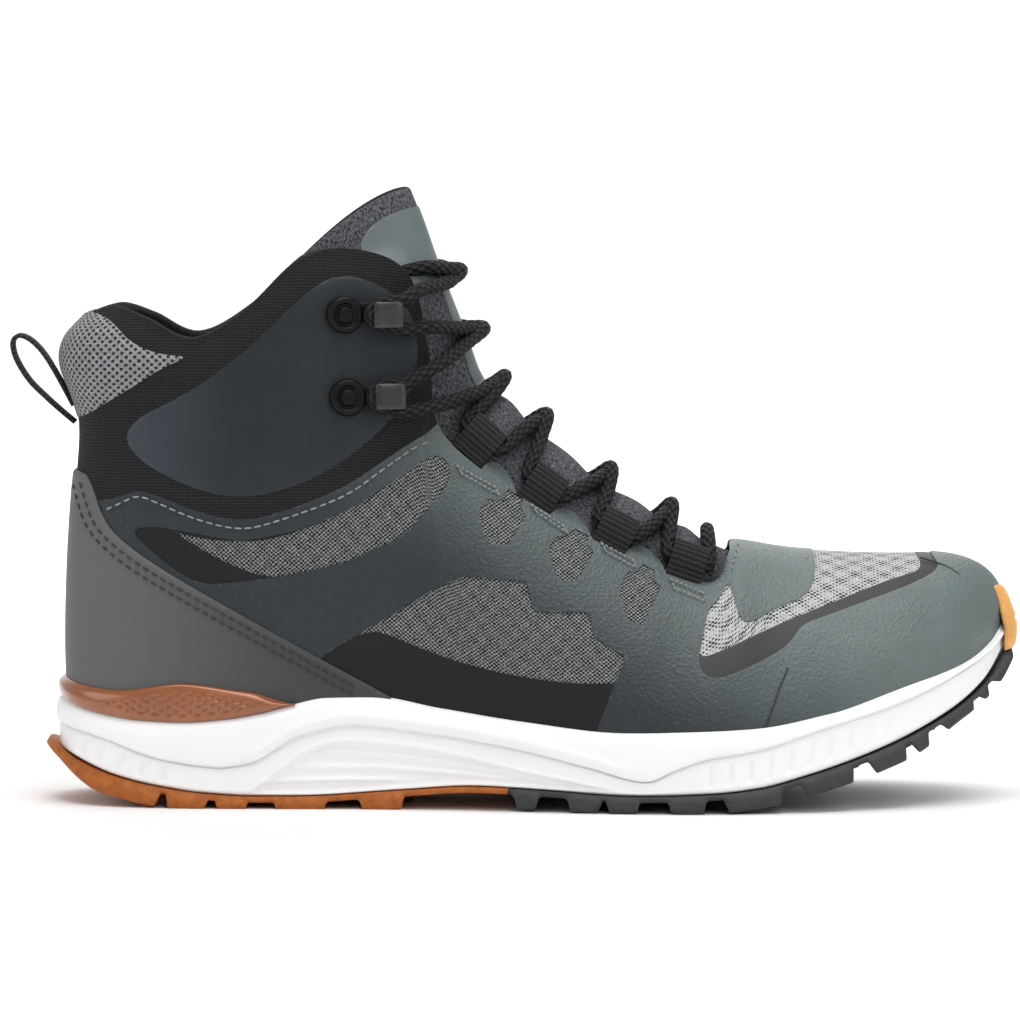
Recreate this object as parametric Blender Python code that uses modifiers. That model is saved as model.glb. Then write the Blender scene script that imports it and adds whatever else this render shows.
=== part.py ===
"""Mid-cut fishing boot, right shoe: a cupped foam sole with rubber outsoles, a hollow textile upper, film
overlays, tongue, lace with webbing loops and hooks, and a pull loop.

Sizes are in millimetres. x runs from the back of the heel to the toe, y from the outer (lateral) side to the
inner (medial) side and z up from the floor. ORIGIN moves the part to the middle of its footprint."""
import math
from collections import namedtuple

import bmesh
import bpy
import numpy as np

MM = 0.001
ORIGIN = np.array([146.0, -2.4, 0.0])
GAP = 0.3
LATERAL, MEDIAL = -1.0, 1.0

# Plan of the sole and ribs of the last, one row for each section from the heel to the toe tip.
# x, lateral, medial: edge of the sole in plan. top_*: where the rib of that section ends, on the collar,
# on the throat edge or, from RIDGE_ROW on, on the ridge of the vamp, where both sides meet.
# foot_*: how far the rib leaves the sole outward and upward. head_*: how it comes into its top end.
Section = namedtuple("Section", "x lateral medial top_x top_lateral top_medial top_z "
                                "foot_out foot_up head_x head_out head_down")
SECTIONS = [
    Section(2.5, 0.0, 0.0, 16.8, 0.0, 0.0, 150.5, 0.7, 38, 0, 9.0, 40),
    Section(5.0, -15.0, 14.5, 18.6, -10.0, 10.0, 152.0, 0.7, 38, 0, 8.5, 40),
    Section(12.0, -26.0, 24.5, 24.0, -18.0, 17.5, 153.7, 0.8, 38, 0, 7.0, 42),
    Section(26.0, -34.5, 32.0, 33.0, -25.5, 24.5, 150.0, 1.0, 38, 0, 4.5, 42),
    Section(44.0, -38.0, 34.5, 46.0, -30.5, 29.0, 143.8, 1.0, 36, 0, 3.0, 40),
    Section(62.0, -39.0, 34.5, 62.0, -32.5, 30.5, 152.0, 1.0, 36, 0, 3.0, 42),
    Section(80.0, -39.5, 33.5, 80.0, -32.0, 30.0, 168.5, 1.0, 36, -1, 4.0, 48),
    Section(97.0, -40.0, 32.5, 97.0, -28.0, 26.5, 171.5, 1.0, 36, -3, 6.0, 50),
    Section(112.0, -41.5, 32.5, 113.0, -22.5, 21.5, 164.0, 1.0, 36, -6, 9.0, 46),
    Section(126.0, -43.5, 33.5, 119.0, -23.6, 22.4, 141.0, 1.0, 34, -6, 11.0, 38),
    Section(140.0, -46.5, 35.5, 122.0, -25.3, 23.6, 118.0, 1.5, 31, -5, 12.0, 29),
    Section(155.0, -50.0, 38.5, 136.5, -26.5, 24.6, 103.0, 2.0, 28, -3, 13.5, 21),
    Section(172.0, -53.5, 42.5, 160.0, -26.0, 25.0, 87.9, 2.0, 25, -2, 15.0, 16),
    Section(190.0, -56.0, 47.0, 184.0, -24.5, 25.0, 76.0, 2.5, 22, 0, 15.0, 12),
    Section(207.0, -56.3, 49.8, 206.0, -21.0, 23.5, 68.2, 2.5, 21, 0, 15.0, 8),
    Section(217.0, -55.4, 50.9, 212.4, -12.0, 15.0, 76.4, 2.5, 22, 2, 18.0, 4),
    Section(229.0, -53.0, 51.0, 214.5, 2.0, 2.0, 80.2, 2.5, 23, 3, 21.0, 1),
    Section(243.0, -48.8, 49.5, 229.0, 4.0, 4.0, 77.8, 2.5, 24, 2, 21.0, 0),
    Section(259.0, -41.0, 46.0, 243.0, 6.0, 6.0, 76.6, 2.5, 25, 0, 21.0, 0),
    Section(274.0, -31.0, 40.5, 255.0, 7.5, 7.5, 76.0, 2.5, 25, 0, 21.0, 0),
    Section(287.0, -19.0, 32.5, 263.0, 9.0, 9.0, 75.8, 2.5, 24, 0, 21.0, 0),
    Section(296.5, -4.5, 22.0, 268.0, 10.0, 10.0, 75.8, 2.8, 21, 0, 22.0, 0),
    Section(300.8, 9.5, 9.5, 271.0, 10.0, 10.0, 75.8, 3.2, 19, 0, 23.0, 0),
]
RIDGE_ROW = 16
COLLAR_ROW = 8
STEPS = 2

# Profile lines of the sole seen from the side, as (x, z).
JOINT_LINE = [(0, 20), (3, 16.8), (8, 14.8), (21, 10), (35, 6.9), (50, 4.8), (65, 4), (80, 4.1), (112, 6.2),
              (133, 7.6), (157, 6.7), (182, 5.5), (206, 6.2), (221, 7.8), (235, 11.2), (258, 18.4), (278, 27.1),
              (293, 37.2), (300, 47.5), (304, 57)]
STEP_LINE = [(0, 25), (17, 21.2), (38, 14.7), (55, 12.7), (64, 14), (80, 22.7), (96, 25.9), (117, 23.8),
             (146, 19.2), (168, 14), (186, 9.8), (195, 13.4), (205, 16.8), (221, 19.5), (240, 25.2),
             (266, 32.6), (288, 42.2), (296, 47.2), (304, 55)]
RIM_LINE = [(0, 34), (8, 30.5), (18, 28.3), (30, 26.9), (43, 26.5), (56, 27.4), (68, 29.4), (78, 32.1),
            (88, 34), (101, 34.2), (123, 30.7), (147, 27.2), (179, 24.2), (203, 24.7), (221, 25.6),
            (246, 30.3), (272, 39.2), (288, 44.8), (296, 49.9), (300, 54.5), (304, 59)]
CLIP_LINE = [(0, 39), (8, 37.3), (22, 36), (43, 38.3), (61, 36.2), (78, 34.2), (90, 33.8), (101, 33.5)]
BED_LINE = [(0, 24), (80, 24), (112, 23), (145, 19.5), (175, 16.5), (200, 16), (225, 17.8), (250, 23),
            (272, 30.5), (288, 39), (296, 46), (304, 54)]
CLIP_END = 78.0

CUP_WALL = 4.3
UPPER_INSET = CUP_WALL + GAP
UPPER_WALL = 2.0
COLLAR_PAD = 5.0
RIB_POINTS = [0.0, 0.12, 0.28, 0.45, 0.62, 0.78, 0.91, 1.0]
HEEL_TAB = namedtuple("HeelTab", "height spread out front")(139.5, 15.0, 8.5, 44.0)
COLLAR_ROLL = 1.2
HOLD = 14.0

INSOLE_THICK = 4.0
INSOLE_INSET = 8.2
OVERLAY = 1.2
OVERLAY_LIFT = 0.6

OUTSOLE_PLATE = 2.4
OUTSOLE_INSET = 0.4
OUTSOLE_SPLIT = 144.0
LUG_REACH = 6.4
LUG_LENGTH = 12.0
LUG_TAPER = 0.9
HEEL_LUGS = [12.0, 29.0, 46.0, 63.0, 80.0]
FORE_LUGS = [156.0, 173.0, 190.0, 207.0, 223.0, 239.0, 254.5, 270.0, 285.0]
LUG_LANES = [(0.03, 0.30, 0.0), (0.37, 0.63, 3.5), (0.70, 0.97, 0.0)]
HEEL_RIBS = [9.5, 15.0, 22.0, 29.5, 36.0]
FORE_RIBS = [209.5, 215.0, 221.0, 228.5, 235.0, 242.0, 248.5, 254.0, 259.5]
RIB_BAR = namedtuple("RibBar", "width depth foot head")(1.7, 2.6, 2.4, 2.2)

GUARD_FROM_X = 295.5
GUARD_THICK = 2.4
GUARD_BOTTOM, GUARD_TOP = 3.2, 10.5

# Outlines of the overlays seen from the side, as (x, z).
COUNTER_OUTLINE = [(-30, 104), (12, 103.5), (15, 100), (19, 88), (26, 81), (38, 73), (64, 58.3), (89, 44.5),
                   (103, 37), (112, 32), (112, 0), (-30, 0)]
PETAL_OUTLINE = [(25, 113.5), (29.5, 120), (41, 125.6), (51, 131.5), (64.5, 142), (74, 151.5), (81.5, 158.5),
                 (88, 163), (94, 164), (100, 162.8), (106.5, 159.5), (112, 155), (115, 149), (116, 141),
                 (115.5, 133), (113, 125.6), (102.5, 114), (89, 104), (75, 98), (62, 95.5), (48.5, 97.7),
                 (31.5, 105.6)]
BAND_TOP = [(-30, 93), (19, 93.3), (29.5, 98), (35.5, 96.4), (48.5, 91.2), (61, 88.5), (72, 90.6), (92, 98),
            (103, 105.3), (113, 112), (120, 116), (135, 130), (180, 130), (180, 220), (-30, 220)]
WINDOWS = {
    "upper_mesh": [(27, 85.5), (34, 87), (62, 82.2), (82, 86.3), (98, 93.7), (121, 109.4), (126, 106), (125.5, 99),
                   (112, 84), (92, 75.2), (70, 70.9), (50, 68.7)],
    "lower_mesh": [(101, 55.8), (129.3, 71.8), (149.3, 70.3), (151.8, 61.1), (169, 60.8), (170, 53.4),
                   (179.8, 47.5), (167.5, 20), (100, 20), (88, 46.5)],
    "vent_1": [(144, 98), (148.6, 95.5), (149.3, 89.3), (142.2, 81.4), (136.5, 82.5), (135.4, 92)],
    "vent_2": [(164.7, 85.5), (169, 83), (169.6, 78.3), (164.7, 70), (158.5, 71), (157, 82)],
    "vent_3": [(185.3, 73), (189.3, 70.5), (190.8, 68), (184.7, 56.8), (179.5, 59), (179, 70)],
    "toe_mesh": [(202, 45), (205, 41.4), (210, 41.6), (230.2, 50.6), (234.2, 56.1), (268.3, 66.9), (277.3, 71.5),
                 (276, 75), (272, 90), (238, 90), (239.5, 72), (235, 64.7), (217, 57.2), (212, 67.5), (205.6, 61.4)],
}
TOE_SEAM = [(221.9, 10), (221.9, 24.8), (227.1, 38), (229, 49), (228, 56), (240, 67), (245, 75), (245, 110)]
TOE_SEAM_GAP = 0.5

# The tongue, one row from under the vamp to its top: apex of the section in the middle plane, thickness and how
# far its top runs past its edges. A row with a station has its edges under the throat's edges at that row of
# SECTIONS, and the others have them at edge_x, edge_z and a half width.
TongueRow = namedtuple("TongueRow", "x z thick reach station edge_x edge_z half_width")
TONGUE = [
    TongueRow(229.0, 74.0, 2.2, 1.0, None, 228.0, 66.0, 17.0),
    TongueRow(215.0, 76.4, 2.6, 1.0, None, 213.0, 65.5, 16.0),
    TongueRow(204.5, 80.6, 3.6, 1.05, 14.0, None, None, None),
    TongueRow(189.5, 88.0, 4.4, 1.2, 13.0, None, None, None),
    TongueRow(168.3, 101.2, 4.4, 1.2, 12.0, None, None, None),
    TongueRow(147.3, 119.6, 4.4, 1.2, 11.0, None, None, None),
    TongueRow(136.2, 130.5, 4.4, 1.15, 10.0, None, None, None),
    TongueRow(130.6, 144.5, 4.4, 1.04, 9.0, None, None, None),
    TongueRow(122.4, 165.5, 4.4, 1.04, 8.0, None, None, None),
    TongueRow(117.3, 180.0, 4.2, 1.0, None, 93.0, 168.0, 20.0),
    TongueRow(113.6, 189.6, 3.6, 1.0, None, 86.0, 172.5, 19.5),
]
TONGUE_MIDDLE = 0.6
TONGUE_TUCK = 0.9
TONGUE_ACROSS = np.linspace(-1.0, 1.0, 11)

# Lace: rows of the tongue, counted from its front end, where a webbing loop sits and where two runs cross.
# across is a share of the way from the middle to the throat's edge.
LACE_RADIUS = 1.8
LACE_LIFT = LACE_RADIUS + 0.8
LOOP_ROWS = [2.42, 3.4, 4.35, 5.3]
LOOP_ACROSS = 0.8
LOOP = namedtuple("Loop", "width length height strap")(9.6, 7.6, 5.2, 1.0)
BAR_ROW = 2.0
CROSSING_ROWS = [2.85, 3.8, 4.75, 5.75, 7.0]
END_ROW = 7.85
HOOKS = [(92.6, 126.6), (91.4, 152.0)]
HOOK = namedtuple("Hook", "base_radius base_thick stem_height plate_length plate_width plate_thick")(
    5.0, 1.6, 7.0, 8.2, 7.6, 1.2)
HOOK_EDGES = [(9.75, 9.2), (8.75, 8.25)]

# Pull loop of webbing at the back of the collar, its path from the tab around and back to the tab.
PULL_PATH = [(8.3, 122.6), (2.6, 133.2), (-1.4, 139.4), (-5.0, 143.0), (-8.2, 144.4), (-10.2, 143.4), (-10.6, 140.8),
             (-9.2, 136.4), (-5.4, 130.4), (0.2, 124.8), (5.0, 120.5), (8.7, 117.4)]
PULL_THICK, PULL_WIDTH = 1.4, 10.0


def along(table, x):
    """Height of a profile line at x, by monotone cubic steps between its rows."""
    xs, zs = np.array(table, float).T
    slopes = np.diff(zs) / np.diff(xs)
    tangents = np.concatenate([slopes[:1], np.zeros(len(xs) - 2), slopes[-1:]])
    rising = slopes[:-1] * slopes[1:] > 0
    tangents[1:-1][rising] = 2 * (slopes[:-1] * slopes[1:])[rising] / (slopes[:-1] + slopes[1:])[rising]
    x = np.clip(np.asarray(x, float), xs[0], xs[-1])
    row = np.clip(np.searchsorted(xs, x, side="right") - 1, 0, len(xs) - 2)
    width = xs[row + 1] - xs[row]
    t = (x - xs[row]) / width
    return ((1 + 2 * t) * (1 - t) ** 2 * zs[row] + t * (1 - t) ** 2 * width * tangents[row]
            + t * t * (3 - 2 * t) * zs[row + 1] - t * t * (1 - t) * width * tangents[row + 1])


def spline(before, here, after, beyond, t):
    """Catmull-Rom step from here to after."""
    return 0.5 * (2 * here + (after - before) * t + (2 * before - 5 * here + 4 * after - beyond) * t * t
                  + (3 * here - before - 3 * after + beyond) * t ** 3)


def closed_spline(rows, steps):
    """Closed smooth curve through rows, with steps points for each of them."""
    rows = np.asarray(rows, float)
    parts = [spline(np.roll(rows, 1, 0), rows, np.roll(rows, -1, 0), np.roll(rows, -2, 0), step / steps)
             for step in range(steps)]
    return np.stack(parts, axis=1).reshape(-1, rows.shape[1])


def smooth_step(low, high, value):
    t = np.clip((np.asarray(value, float) - low) / (high - low), 0.0, 1.0)
    return t * t * (3 - 2 * t)


def around(lateral_row, medial_row):
    """Rows of the sections in their order around the shoe: heel, lateral side, toe tip, medial side."""
    outward = [lateral_row(section) for section in SECTIONS]
    back = [medial_row(section) for section in SECTIONS[-2:0:-1]]
    return closed_spline(outward + back, STEPS)


PLAN = around(lambda s: (s.x, s.lateral), lambda s: (s.x, s.medial))
COLUMNS = len(PLAN)
TIP = COLUMNS // 2
STATION = np.minimum(np.arange(COLUMNS), COLUMNS - np.arange(COLUMNS)) / STEPS


def plan_normals():
    ahead = np.roll(PLAN, -1, 0) - np.roll(PLAN, 1, 0)
    normals = np.stack([ahead[:, 1], -ahead[:, 0]], axis=1)
    return normals / np.linalg.norm(normals, axis=1, keepdims=True)


NORMALS = plan_normals()


def ring(inset, height):
    """Loop around the sole, inset from its plan edge, at the height that a function gives for each x."""
    flat = PLAN - NORMALS * inset
    return np.column_stack([flat, height(flat[:, 0])])


def rib_heads():
    """Top ends and handles of the ribs, one row for each column around the shoe."""
    def handles(s):
        return s.top_z, s.foot_out, s.foot_up, s.head_x, s.head_out, s.head_down
    heads = around(lambda s: (s.top_x, s.top_lateral) + handles(s), lambda s: (s.top_x, s.top_medial) + handles(s))
    mirrored = heads[(COLUMNS - np.arange(COLUMNS)) % COLUMNS]
    on_ridge = STATION >= RIDGE_ROW
    heads[on_ridge] = 0.5 * (heads + mirrored)[on_ridge]
    return heads


def last_points(shares):
    """Outer surface of the upper: points for each column and each share of the way up its rib."""
    heads = rib_heads()
    out = np.column_stack([NORMALS, np.zeros(COLUMNS)])
    up = np.array([0.0, 0.0, 1.0])
    foot = ring(UPPER_INSET, lambda x: along(BED_LINE, x) + GAP)
    top = heads[:, :3]
    foot_handle = foot + out * heads[:, 3:4] + up * heads[:, 4:5]
    head_handle = top + out * heads[:, 6:7] - up * heads[:, 7:8] + np.array([1.0, 0.0, 0.0]) * heads[:, 5:6]
    t = np.asarray(shares, float)[None, :, None]
    points = ((1 - t) ** 3 * foot[:, None] + 3 * t * (1 - t) ** 2 * foot_handle[:, None]
              + 3 * t * t * (1 - t) * head_handle[:, None] + t ** 3 * top[:, None])
    bulge = np.sum((points - foot[:, None]) * out[:, None], axis=2)
    cup = np.maximum(along(RIM_LINE, PLAN[:, 0]), np.where(STATION < RIDGE_ROW / 2, along(CLIP_LINE, PLAN[:, 0]), 0.0))
    free = smooth_step(1.0, HOLD, points[..., 2] - cup[:, None])
    points = points - out[:, None] * (np.maximum(bulge, 0.0) * (1 - free))[..., None]
    tab = HEEL_TAB.out * np.exp(-((points[..., 2] - HEEL_TAB.height) / HEEL_TAB.spread) ** 2)
    tab *= 1 - smooth_step(12.0, HEEL_TAB.front, points[..., 0])
    roll = COLLAR_ROLL * smooth_step(0.8, 0.94, t[..., 0]) * (1 - smooth_step(0.94, 1.0, t[..., 0]))
    roll = roll * (1 - smooth_step(COLLAR_ROW - 1, COLLAR_ROW, STATION))[:, None]
    return points + out[:, None] * (tab + roll)[..., None]


def collection(name):
    made = bpy.data.collections.new(name)
    bpy.context.scene.collection.children.link(made)
    return made


def material(name, colour, roughness, metallic=0.0):
    made = bpy.data.materials.new(name)
    made.use_nodes = True
    shader = made.node_tree.nodes["Principled BSDF"]
    shader.inputs["Base Color"].default_value = (*colour, 1.0)
    shader.inputs["Roughness"].default_value = roughness
    shader.inputs["Metallic"].default_value = metallic
    return made


def mesh_object(name, points, faces, home, weld=0.0):
    """Object from points in the shoe's millimetres, with its faces turned outward."""
    mesh = bpy.data.meshes.new(name)
    mesh.from_pydata(((np.asarray(points, float) - ORIGIN) * MM).tolist(), [], faces)
    shaped = bmesh.new()
    shaped.from_mesh(mesh)
    if weld:
        bmesh.ops.remove_doubles(shaped, verts=shaped.verts, dist=weld * MM)
    if all(edge.is_manifold for edge in shaped.edges):
        bmesh.ops.recalc_face_normals(shaped, faces=shaped.faces)
    shaped.to_mesh(mesh)
    shaped.free()
    made = bpy.data.objects.new(name, mesh)
    home.objects.link(made)
    return made


def finish(made, look):
    made.data.materials.clear()
    made.data.materials.append(look)
    made.data.shade_smooth()
    made.data.set_sharp_from_angle(angle=math.radians(38))
    return made


def boolean(made, operation, other):
    step = made.modifiers.new(operation.lower(), "BOOLEAN")
    step.operation = operation
    step.object = other
    step.solver = "EXACT"
    other.hide_render = True
    other.display_type = "WIRE"


def apply_all(made):
    """Replaces the object's mesh by its evaluated mesh, so that what is cut can be cut again."""
    shape = bpy.data.meshes.new_from_object(made.evaluated_get(bpy.context.evaluated_depsgraph_get()))
    made.modifiers.clear()
    made.data = shape


def rungs(offset, turned):
    """Faces across a loop, from its lateral to its medial columns."""
    faces = [(0, 1, COLUMNS - 1), (TIP - 1, TIP, TIP + 1)]
    faces += [(k, k + 1, COLUMNS - k - 1, COLUMNS - k) for k in range(1, TIP - 1)]
    faces = [tuple(offset + corner for corner in face) for face in faces]
    return [face[::-1] for face in faces] if turned else faces


def stacked(name, rings, home):
    """Closed solid through loops around the sole, capped across its first and last loop."""
    points = np.concatenate(rings)
    faces = rungs(0, True) + rungs((len(rings) - 1) * COLUMNS, False)
    for row in range(len(rings) - 1):
        low, high = row * COLUMNS, (row + 1) * COLUMNS
        for k in range(COLUMNS):
            n = (k + 1) % COLUMNS
            faces.append((low + k, low + n, high + n, high + k))
    return mesh_object(name, points, faces, home)


def swept(name, sections, home, closed=False):
    """Solid through like sections, each a closed polygon, with end caps or joined end to end."""
    sides = len(sections[0])
    count = len(sections)
    faces = [] if closed else [tuple(range(sides)), tuple((count - 1) * sides + i for i in range(sides))[::-1]]
    for row in range(count if closed else count - 1):
        low, high = row * sides, (row + 1) % count * sides
        for i in range(sides):
            n = (i + 1) % sides
            faces.append((low + i, high + i, high + n, low + n))
    return mesh_object(name, np.concatenate(sections), faces, home)


def prism(name, outline, y_from, y_to, home):
    """Straight prism through the shoe from an outline seen from the side."""
    ends = [np.array([(x, y, z) for x, z in outline], float) for y in (y_from, y_to)]
    return swept(name, ends, home)


def unit(vector):
    return vector / np.linalg.norm(vector)


def sole_down(x):
    """Unit vector out of the sole's underside at x, in the side plane."""
    slope = (along(JOINT_LINE, x + 0.5) - along(JOINT_LINE, x - 0.5)) / 1.0
    length = np.sqrt(1 + slope * slope)
    return np.stack([slope / length, np.zeros_like(slope), -1 / length], axis=-1)


def under_ring(inset, depth):
    """Loop on the sole's underside, sunk below the joint line along its own normal."""
    flat = ring(inset, lambda x: along(JOINT_LINE, x))
    return flat + sole_down(flat[:, 0]) * depth


def edges_at(x):
    """Lateral and medial edge of the sole's plan at x."""
    lateral = PLAN[:TIP + 1]
    medial = np.vstack([PLAN[:1], PLAN[:TIP - 1:-1]])
    medial = medial[np.argsort(medial[:, 0])]
    return np.interp(x, lateral[:, 0], lateral[:, 1]), np.interp(x, medial[:, 0], medial[:, 1])


def lug_points(x, lane):
    """Eight corners of a lug: four in the plate and four, drawn in, on the ground or at full reach."""
    start, stop, ahead = lane
    corners = []
    for depth, taper in ((OUTSOLE_PLATE * 0.6, 0.0), (LUG_REACH, LUG_TAPER)):
        for x_side, lane_side in ((-1, start), (1, start), (1, stop), (-1, stop)):
            at = np.array(x + ahead + x_side * (LUG_LENGTH / 2 - taper))
            lateral, medial = edges_at(at)
            inner = taper if lane_side == start else -taper
            y = lateral + (medial - lateral) * lane_side + inner
            point = np.array([at, y, along(JOINT_LINE, at)]) + sole_down(at) * depth
            corners.append((point[0], point[1], max(point[2], 0.0)))
    return corners


def blocks(name, boxes, home):
    """One mesh of separate six-sided blocks, each given by four corners of two opposite faces."""
    points, faces = [], []
    for corners in boxes:
        base = len(points)
        points += corners
        sides = [(0, 1, 2, 3), (7, 6, 5, 4)] + [(4 + i, 4 + (i + 1) % 4, (i + 1) % 4, i) for i in range(4)]
        faces += [tuple(base + corner for corner in side) for side in sides]
    return mesh_object(name, points, faces, home)


def build_outsoles(parts, cutters, gum, black):
    """Rubber plate under the midsole with its lugs, parted into a gum heel and a black forefoot."""
    halves = (("outsole_heel", HEEL_LUGS, (-40.0, OUTSOLE_SPLIT - GAP), gum),
              ("outsole_forefoot", FORE_LUGS, (OUTSOLE_SPLIT + GAP, 340.0), black))
    for name, lugs, (x_from, x_to), look in halves:
        plate = stacked(name, [under_ring(OUTSOLE_INSET + 0.8, GAP + OUTSOLE_PLATE),
                               under_ring(OUTSOLE_INSET, GAP + OUTSOLE_PLATE * 0.5),
                               under_ring(OUTSOLE_INSET + 0.6, GAP)], parts)
        span = [(x_from, -20), (x_to, -20), (x_to, 90), (x_from, 90)]
        boolean(plate, "INTERSECT", prism(name + "_span", span, -90, 90, cutters))
        corners = [lug_points(x, lane) for x in lugs for lane in LUG_LANES]
        boolean(plate, "UNION", blocks(name + "_lugs", corners, cutters))
        apply_all(plate)
        finish(plate, look)


def rib_bars():
    """Upright bars on the lower band of the midsole's side, at the heel and at the forefoot."""
    boxes = []
    for x in HEEL_RIBS + FORE_RIBS:
        for side in (LATERAL, MEDIAL):
            half = np.arange(1, TIP) if side == LATERAL else np.arange(COLUMNS - 1, TIP, -1)
            place = np.array([np.interp(x, PLAN[half, 0], PLAN[half, axis]) for axis in (0, 1)])
            outward = unit(np.array([np.interp(x, PLAN[half, 0], NORMALS[half, axis]) for axis in (0, 1)]))
            along_side = np.array([-outward[1], outward[0]])
            foot = along(JOINT_LINE, x) + RIB_BAR.foot
            head = along(STEP_LINE, x) - RIB_BAR.head
            corners = []
            for z in (foot, head):
                for shift, depth in ((-1, 0), (1, 0), (1, 1), (-1, 1)):
                    flat = place + along_side * shift * RIB_BAR.width / 2 - outward * (0.45 + depth * RIB_BAR.depth)
                    corners.append((flat[0], flat[1], float(z)))
            boxes.append(corners)
    return boxes


def build_midsole(parts, cutters, look):
    """Foam cup: its side steps out at the step line, its rim holds the upper and its bed carries the insole."""
    def joint(x):
        return along(JOINT_LINE, x)

    def step(x):
        return along(STEP_LINE, x)

    def rim(x):
        return along(RIM_LINE, x)
    cup = stacked("midsole", [
        ring(2.2, joint),
        ring(1.0, lambda x: joint(x) + 1.5),
        ring(1.5, lambda x: np.maximum(step(x) - 0.8, joint(x) + 2.0)),
        ring(0.0, lambda x: np.maximum(step(x) + 0.7, joint(x) + 3.0)),
        ring(0.2, lambda x: 0.45 * step(x) + 0.55 * rim(x)),
        ring(1.5, lambda x: rim(x) - 0.9),
        ring(2.5, rim),
        ring(CUP_WALL, lambda x: rim(x) - 0.3),
        ring(CUP_WALL, lambda x: np.minimum(along(BED_LINE, x), rim(x) - 0.8)),
    ], parts)
    boolean(cup, "UNION", blocks("midsole_ribs", rib_bars(), cutters))
    apply_all(cup)
    finish(cup, look)


def build_heel_clip(parts, look):
    """Plastic stabiliser that takes the place of the cup's rim around the heel."""
    columns = [k for k in range(-TIP, TIP) if PLAN[k, 0] < CLIP_END and abs(k) < TIP // 2]
    sections = []
    for k in columns:
        def at(inset, height):
            flat = PLAN[k] - NORMALS[k] * inset
            return flat[0], flat[1], height(flat[0])
        sections.append(np.array([
            at(CUP_WALL, lambda x: along(RIM_LINE, x) + GAP),
            at(1.4, lambda x: along(RIM_LINE, x) + GAP + 0.6),
            at(0.7, lambda x: 0.6 * along(RIM_LINE, x) + 0.4 * along(CLIP_LINE, x) + 0.4),
            at(1.6, lambda x: along(CLIP_LINE, x) - 0.5),
            at(2.6, lambda x: along(CLIP_LINE, x)),
            at(CUP_WALL, lambda x: along(CLIP_LINE, x))]))
    finish(swept("heel_clip", sections, parts), look)


def build_toe_guard(parts, look):
    """Rubber bumper that stands on the toe, in front of the cup's rim and of the toe cap."""
    columns = [k for k in range(COLUMNS) if PLAN[k, 0] > GUARD_FROM_X]
    lean = last_points([0.22, 0.36])
    sections = []
    for k in columns:
        out = np.array([*NORMALS[k], 0.0])
        edge = np.array([*PLAN[k], 0.0])
        rim = along(RIM_LINE, PLAN[k, 0])
        clear = GAP + OVERLAY_LIFT + OVERLAY + 0.5
        low = edge + out * GAP + [0, 0, rim - GUARD_BOTTOM]
        middle = edge + out * GAP + [0, 0, rim + 1.2]
        high = lean[k, 1] + out * clear + [0, 0, 0.6]
        high[2] = rim + GUARD_TOP
        sections.append(np.array([low, low + out * GUARD_THICK * 0.7, middle + out * GUARD_THICK,
                                  high + out * GUARD_THICK * 0.7, high, middle]))
    finish(swept("toe_guard", sections, parts), look)


def build_insole(parts, look):
    """Foam footbed that lies on the cup's bed, inside the upper."""
    def bed(x):
        return along(BED_LINE, x) + GAP
    sole = stacked("insole", [ring(INSOLE_INSET, bed), ring(INSOLE_INSET, lambda x: bed(x) + INSOLE_THICK)], parts)
    finish(sole, look)


def last_mesh(name, home, lift=0.0):
    """Open surface of the last, lifted outward along its normals."""
    points = last_points(RIB_POINTS)
    rows = len(RIB_POINTS)
    faces = [(k * rows + j, (k + 1) % COLUMNS * rows + j, (k + 1) % COLUMNS * rows + j + 1, k * rows + j + 1)
             for k in range(COLUMNS) for j in range(rows - 1)]
    made = mesh_object(name, points.reshape(-1, 3), faces, home, weld=0.01)
    if lift:
        normals = [vertex.vector.copy() for vertex in made.data.vertex_normals]
        for vertex, normal in zip(made.data.vertices, normals):
            vertex.co += normal * lift * MM
    return made


def solidify(made, thickness, side):
    wall = made.modifiers.new("wall", "SOLIDIFY")
    wall.thickness = thickness * MM
    wall.offset = side
    wall.use_even_offset = True
    return wall


def build_upper(parts, look):
    """Hollow textile shell, with a padded collar, open at the collar, at the throat and underneath."""
    upper = last_mesh("upper", parts)
    group = upper.vertex_groups.new(name="padding")
    for vertex in upper.data.vertices:
        x, y, z = np.array(vertex.co) / MM + ORIGIN
        pad = smooth_step(88, 128, z) * (1 - smooth_step(70, 104, x))
        group.add([vertex.index], float(pad), "REPLACE")
    wall = solidify(upper, COLLAR_PAD, -1.0)
    wall.vertex_group = group.name
    wall.thickness_vertex_group = UPPER_WALL / COLLAR_PAD
    apply_all(upper)
    finish(upper, look)


def cup_top():
    """Region of the side view that the cup and the heel clip cover."""
    x = np.arange(-4.0, 305.0, 4.0)
    top = np.maximum(along(RIM_LINE, x), np.where(x < CLIP_END + 4, along(CLIP_LINE, x), 0.0)) + 2 * GAP
    return [(-40.0, -10.0), (340.0, -10.0), (340.0, top[-1])] + list(zip(x, top))[::-1] + [(-40.0, top[0])]


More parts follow.
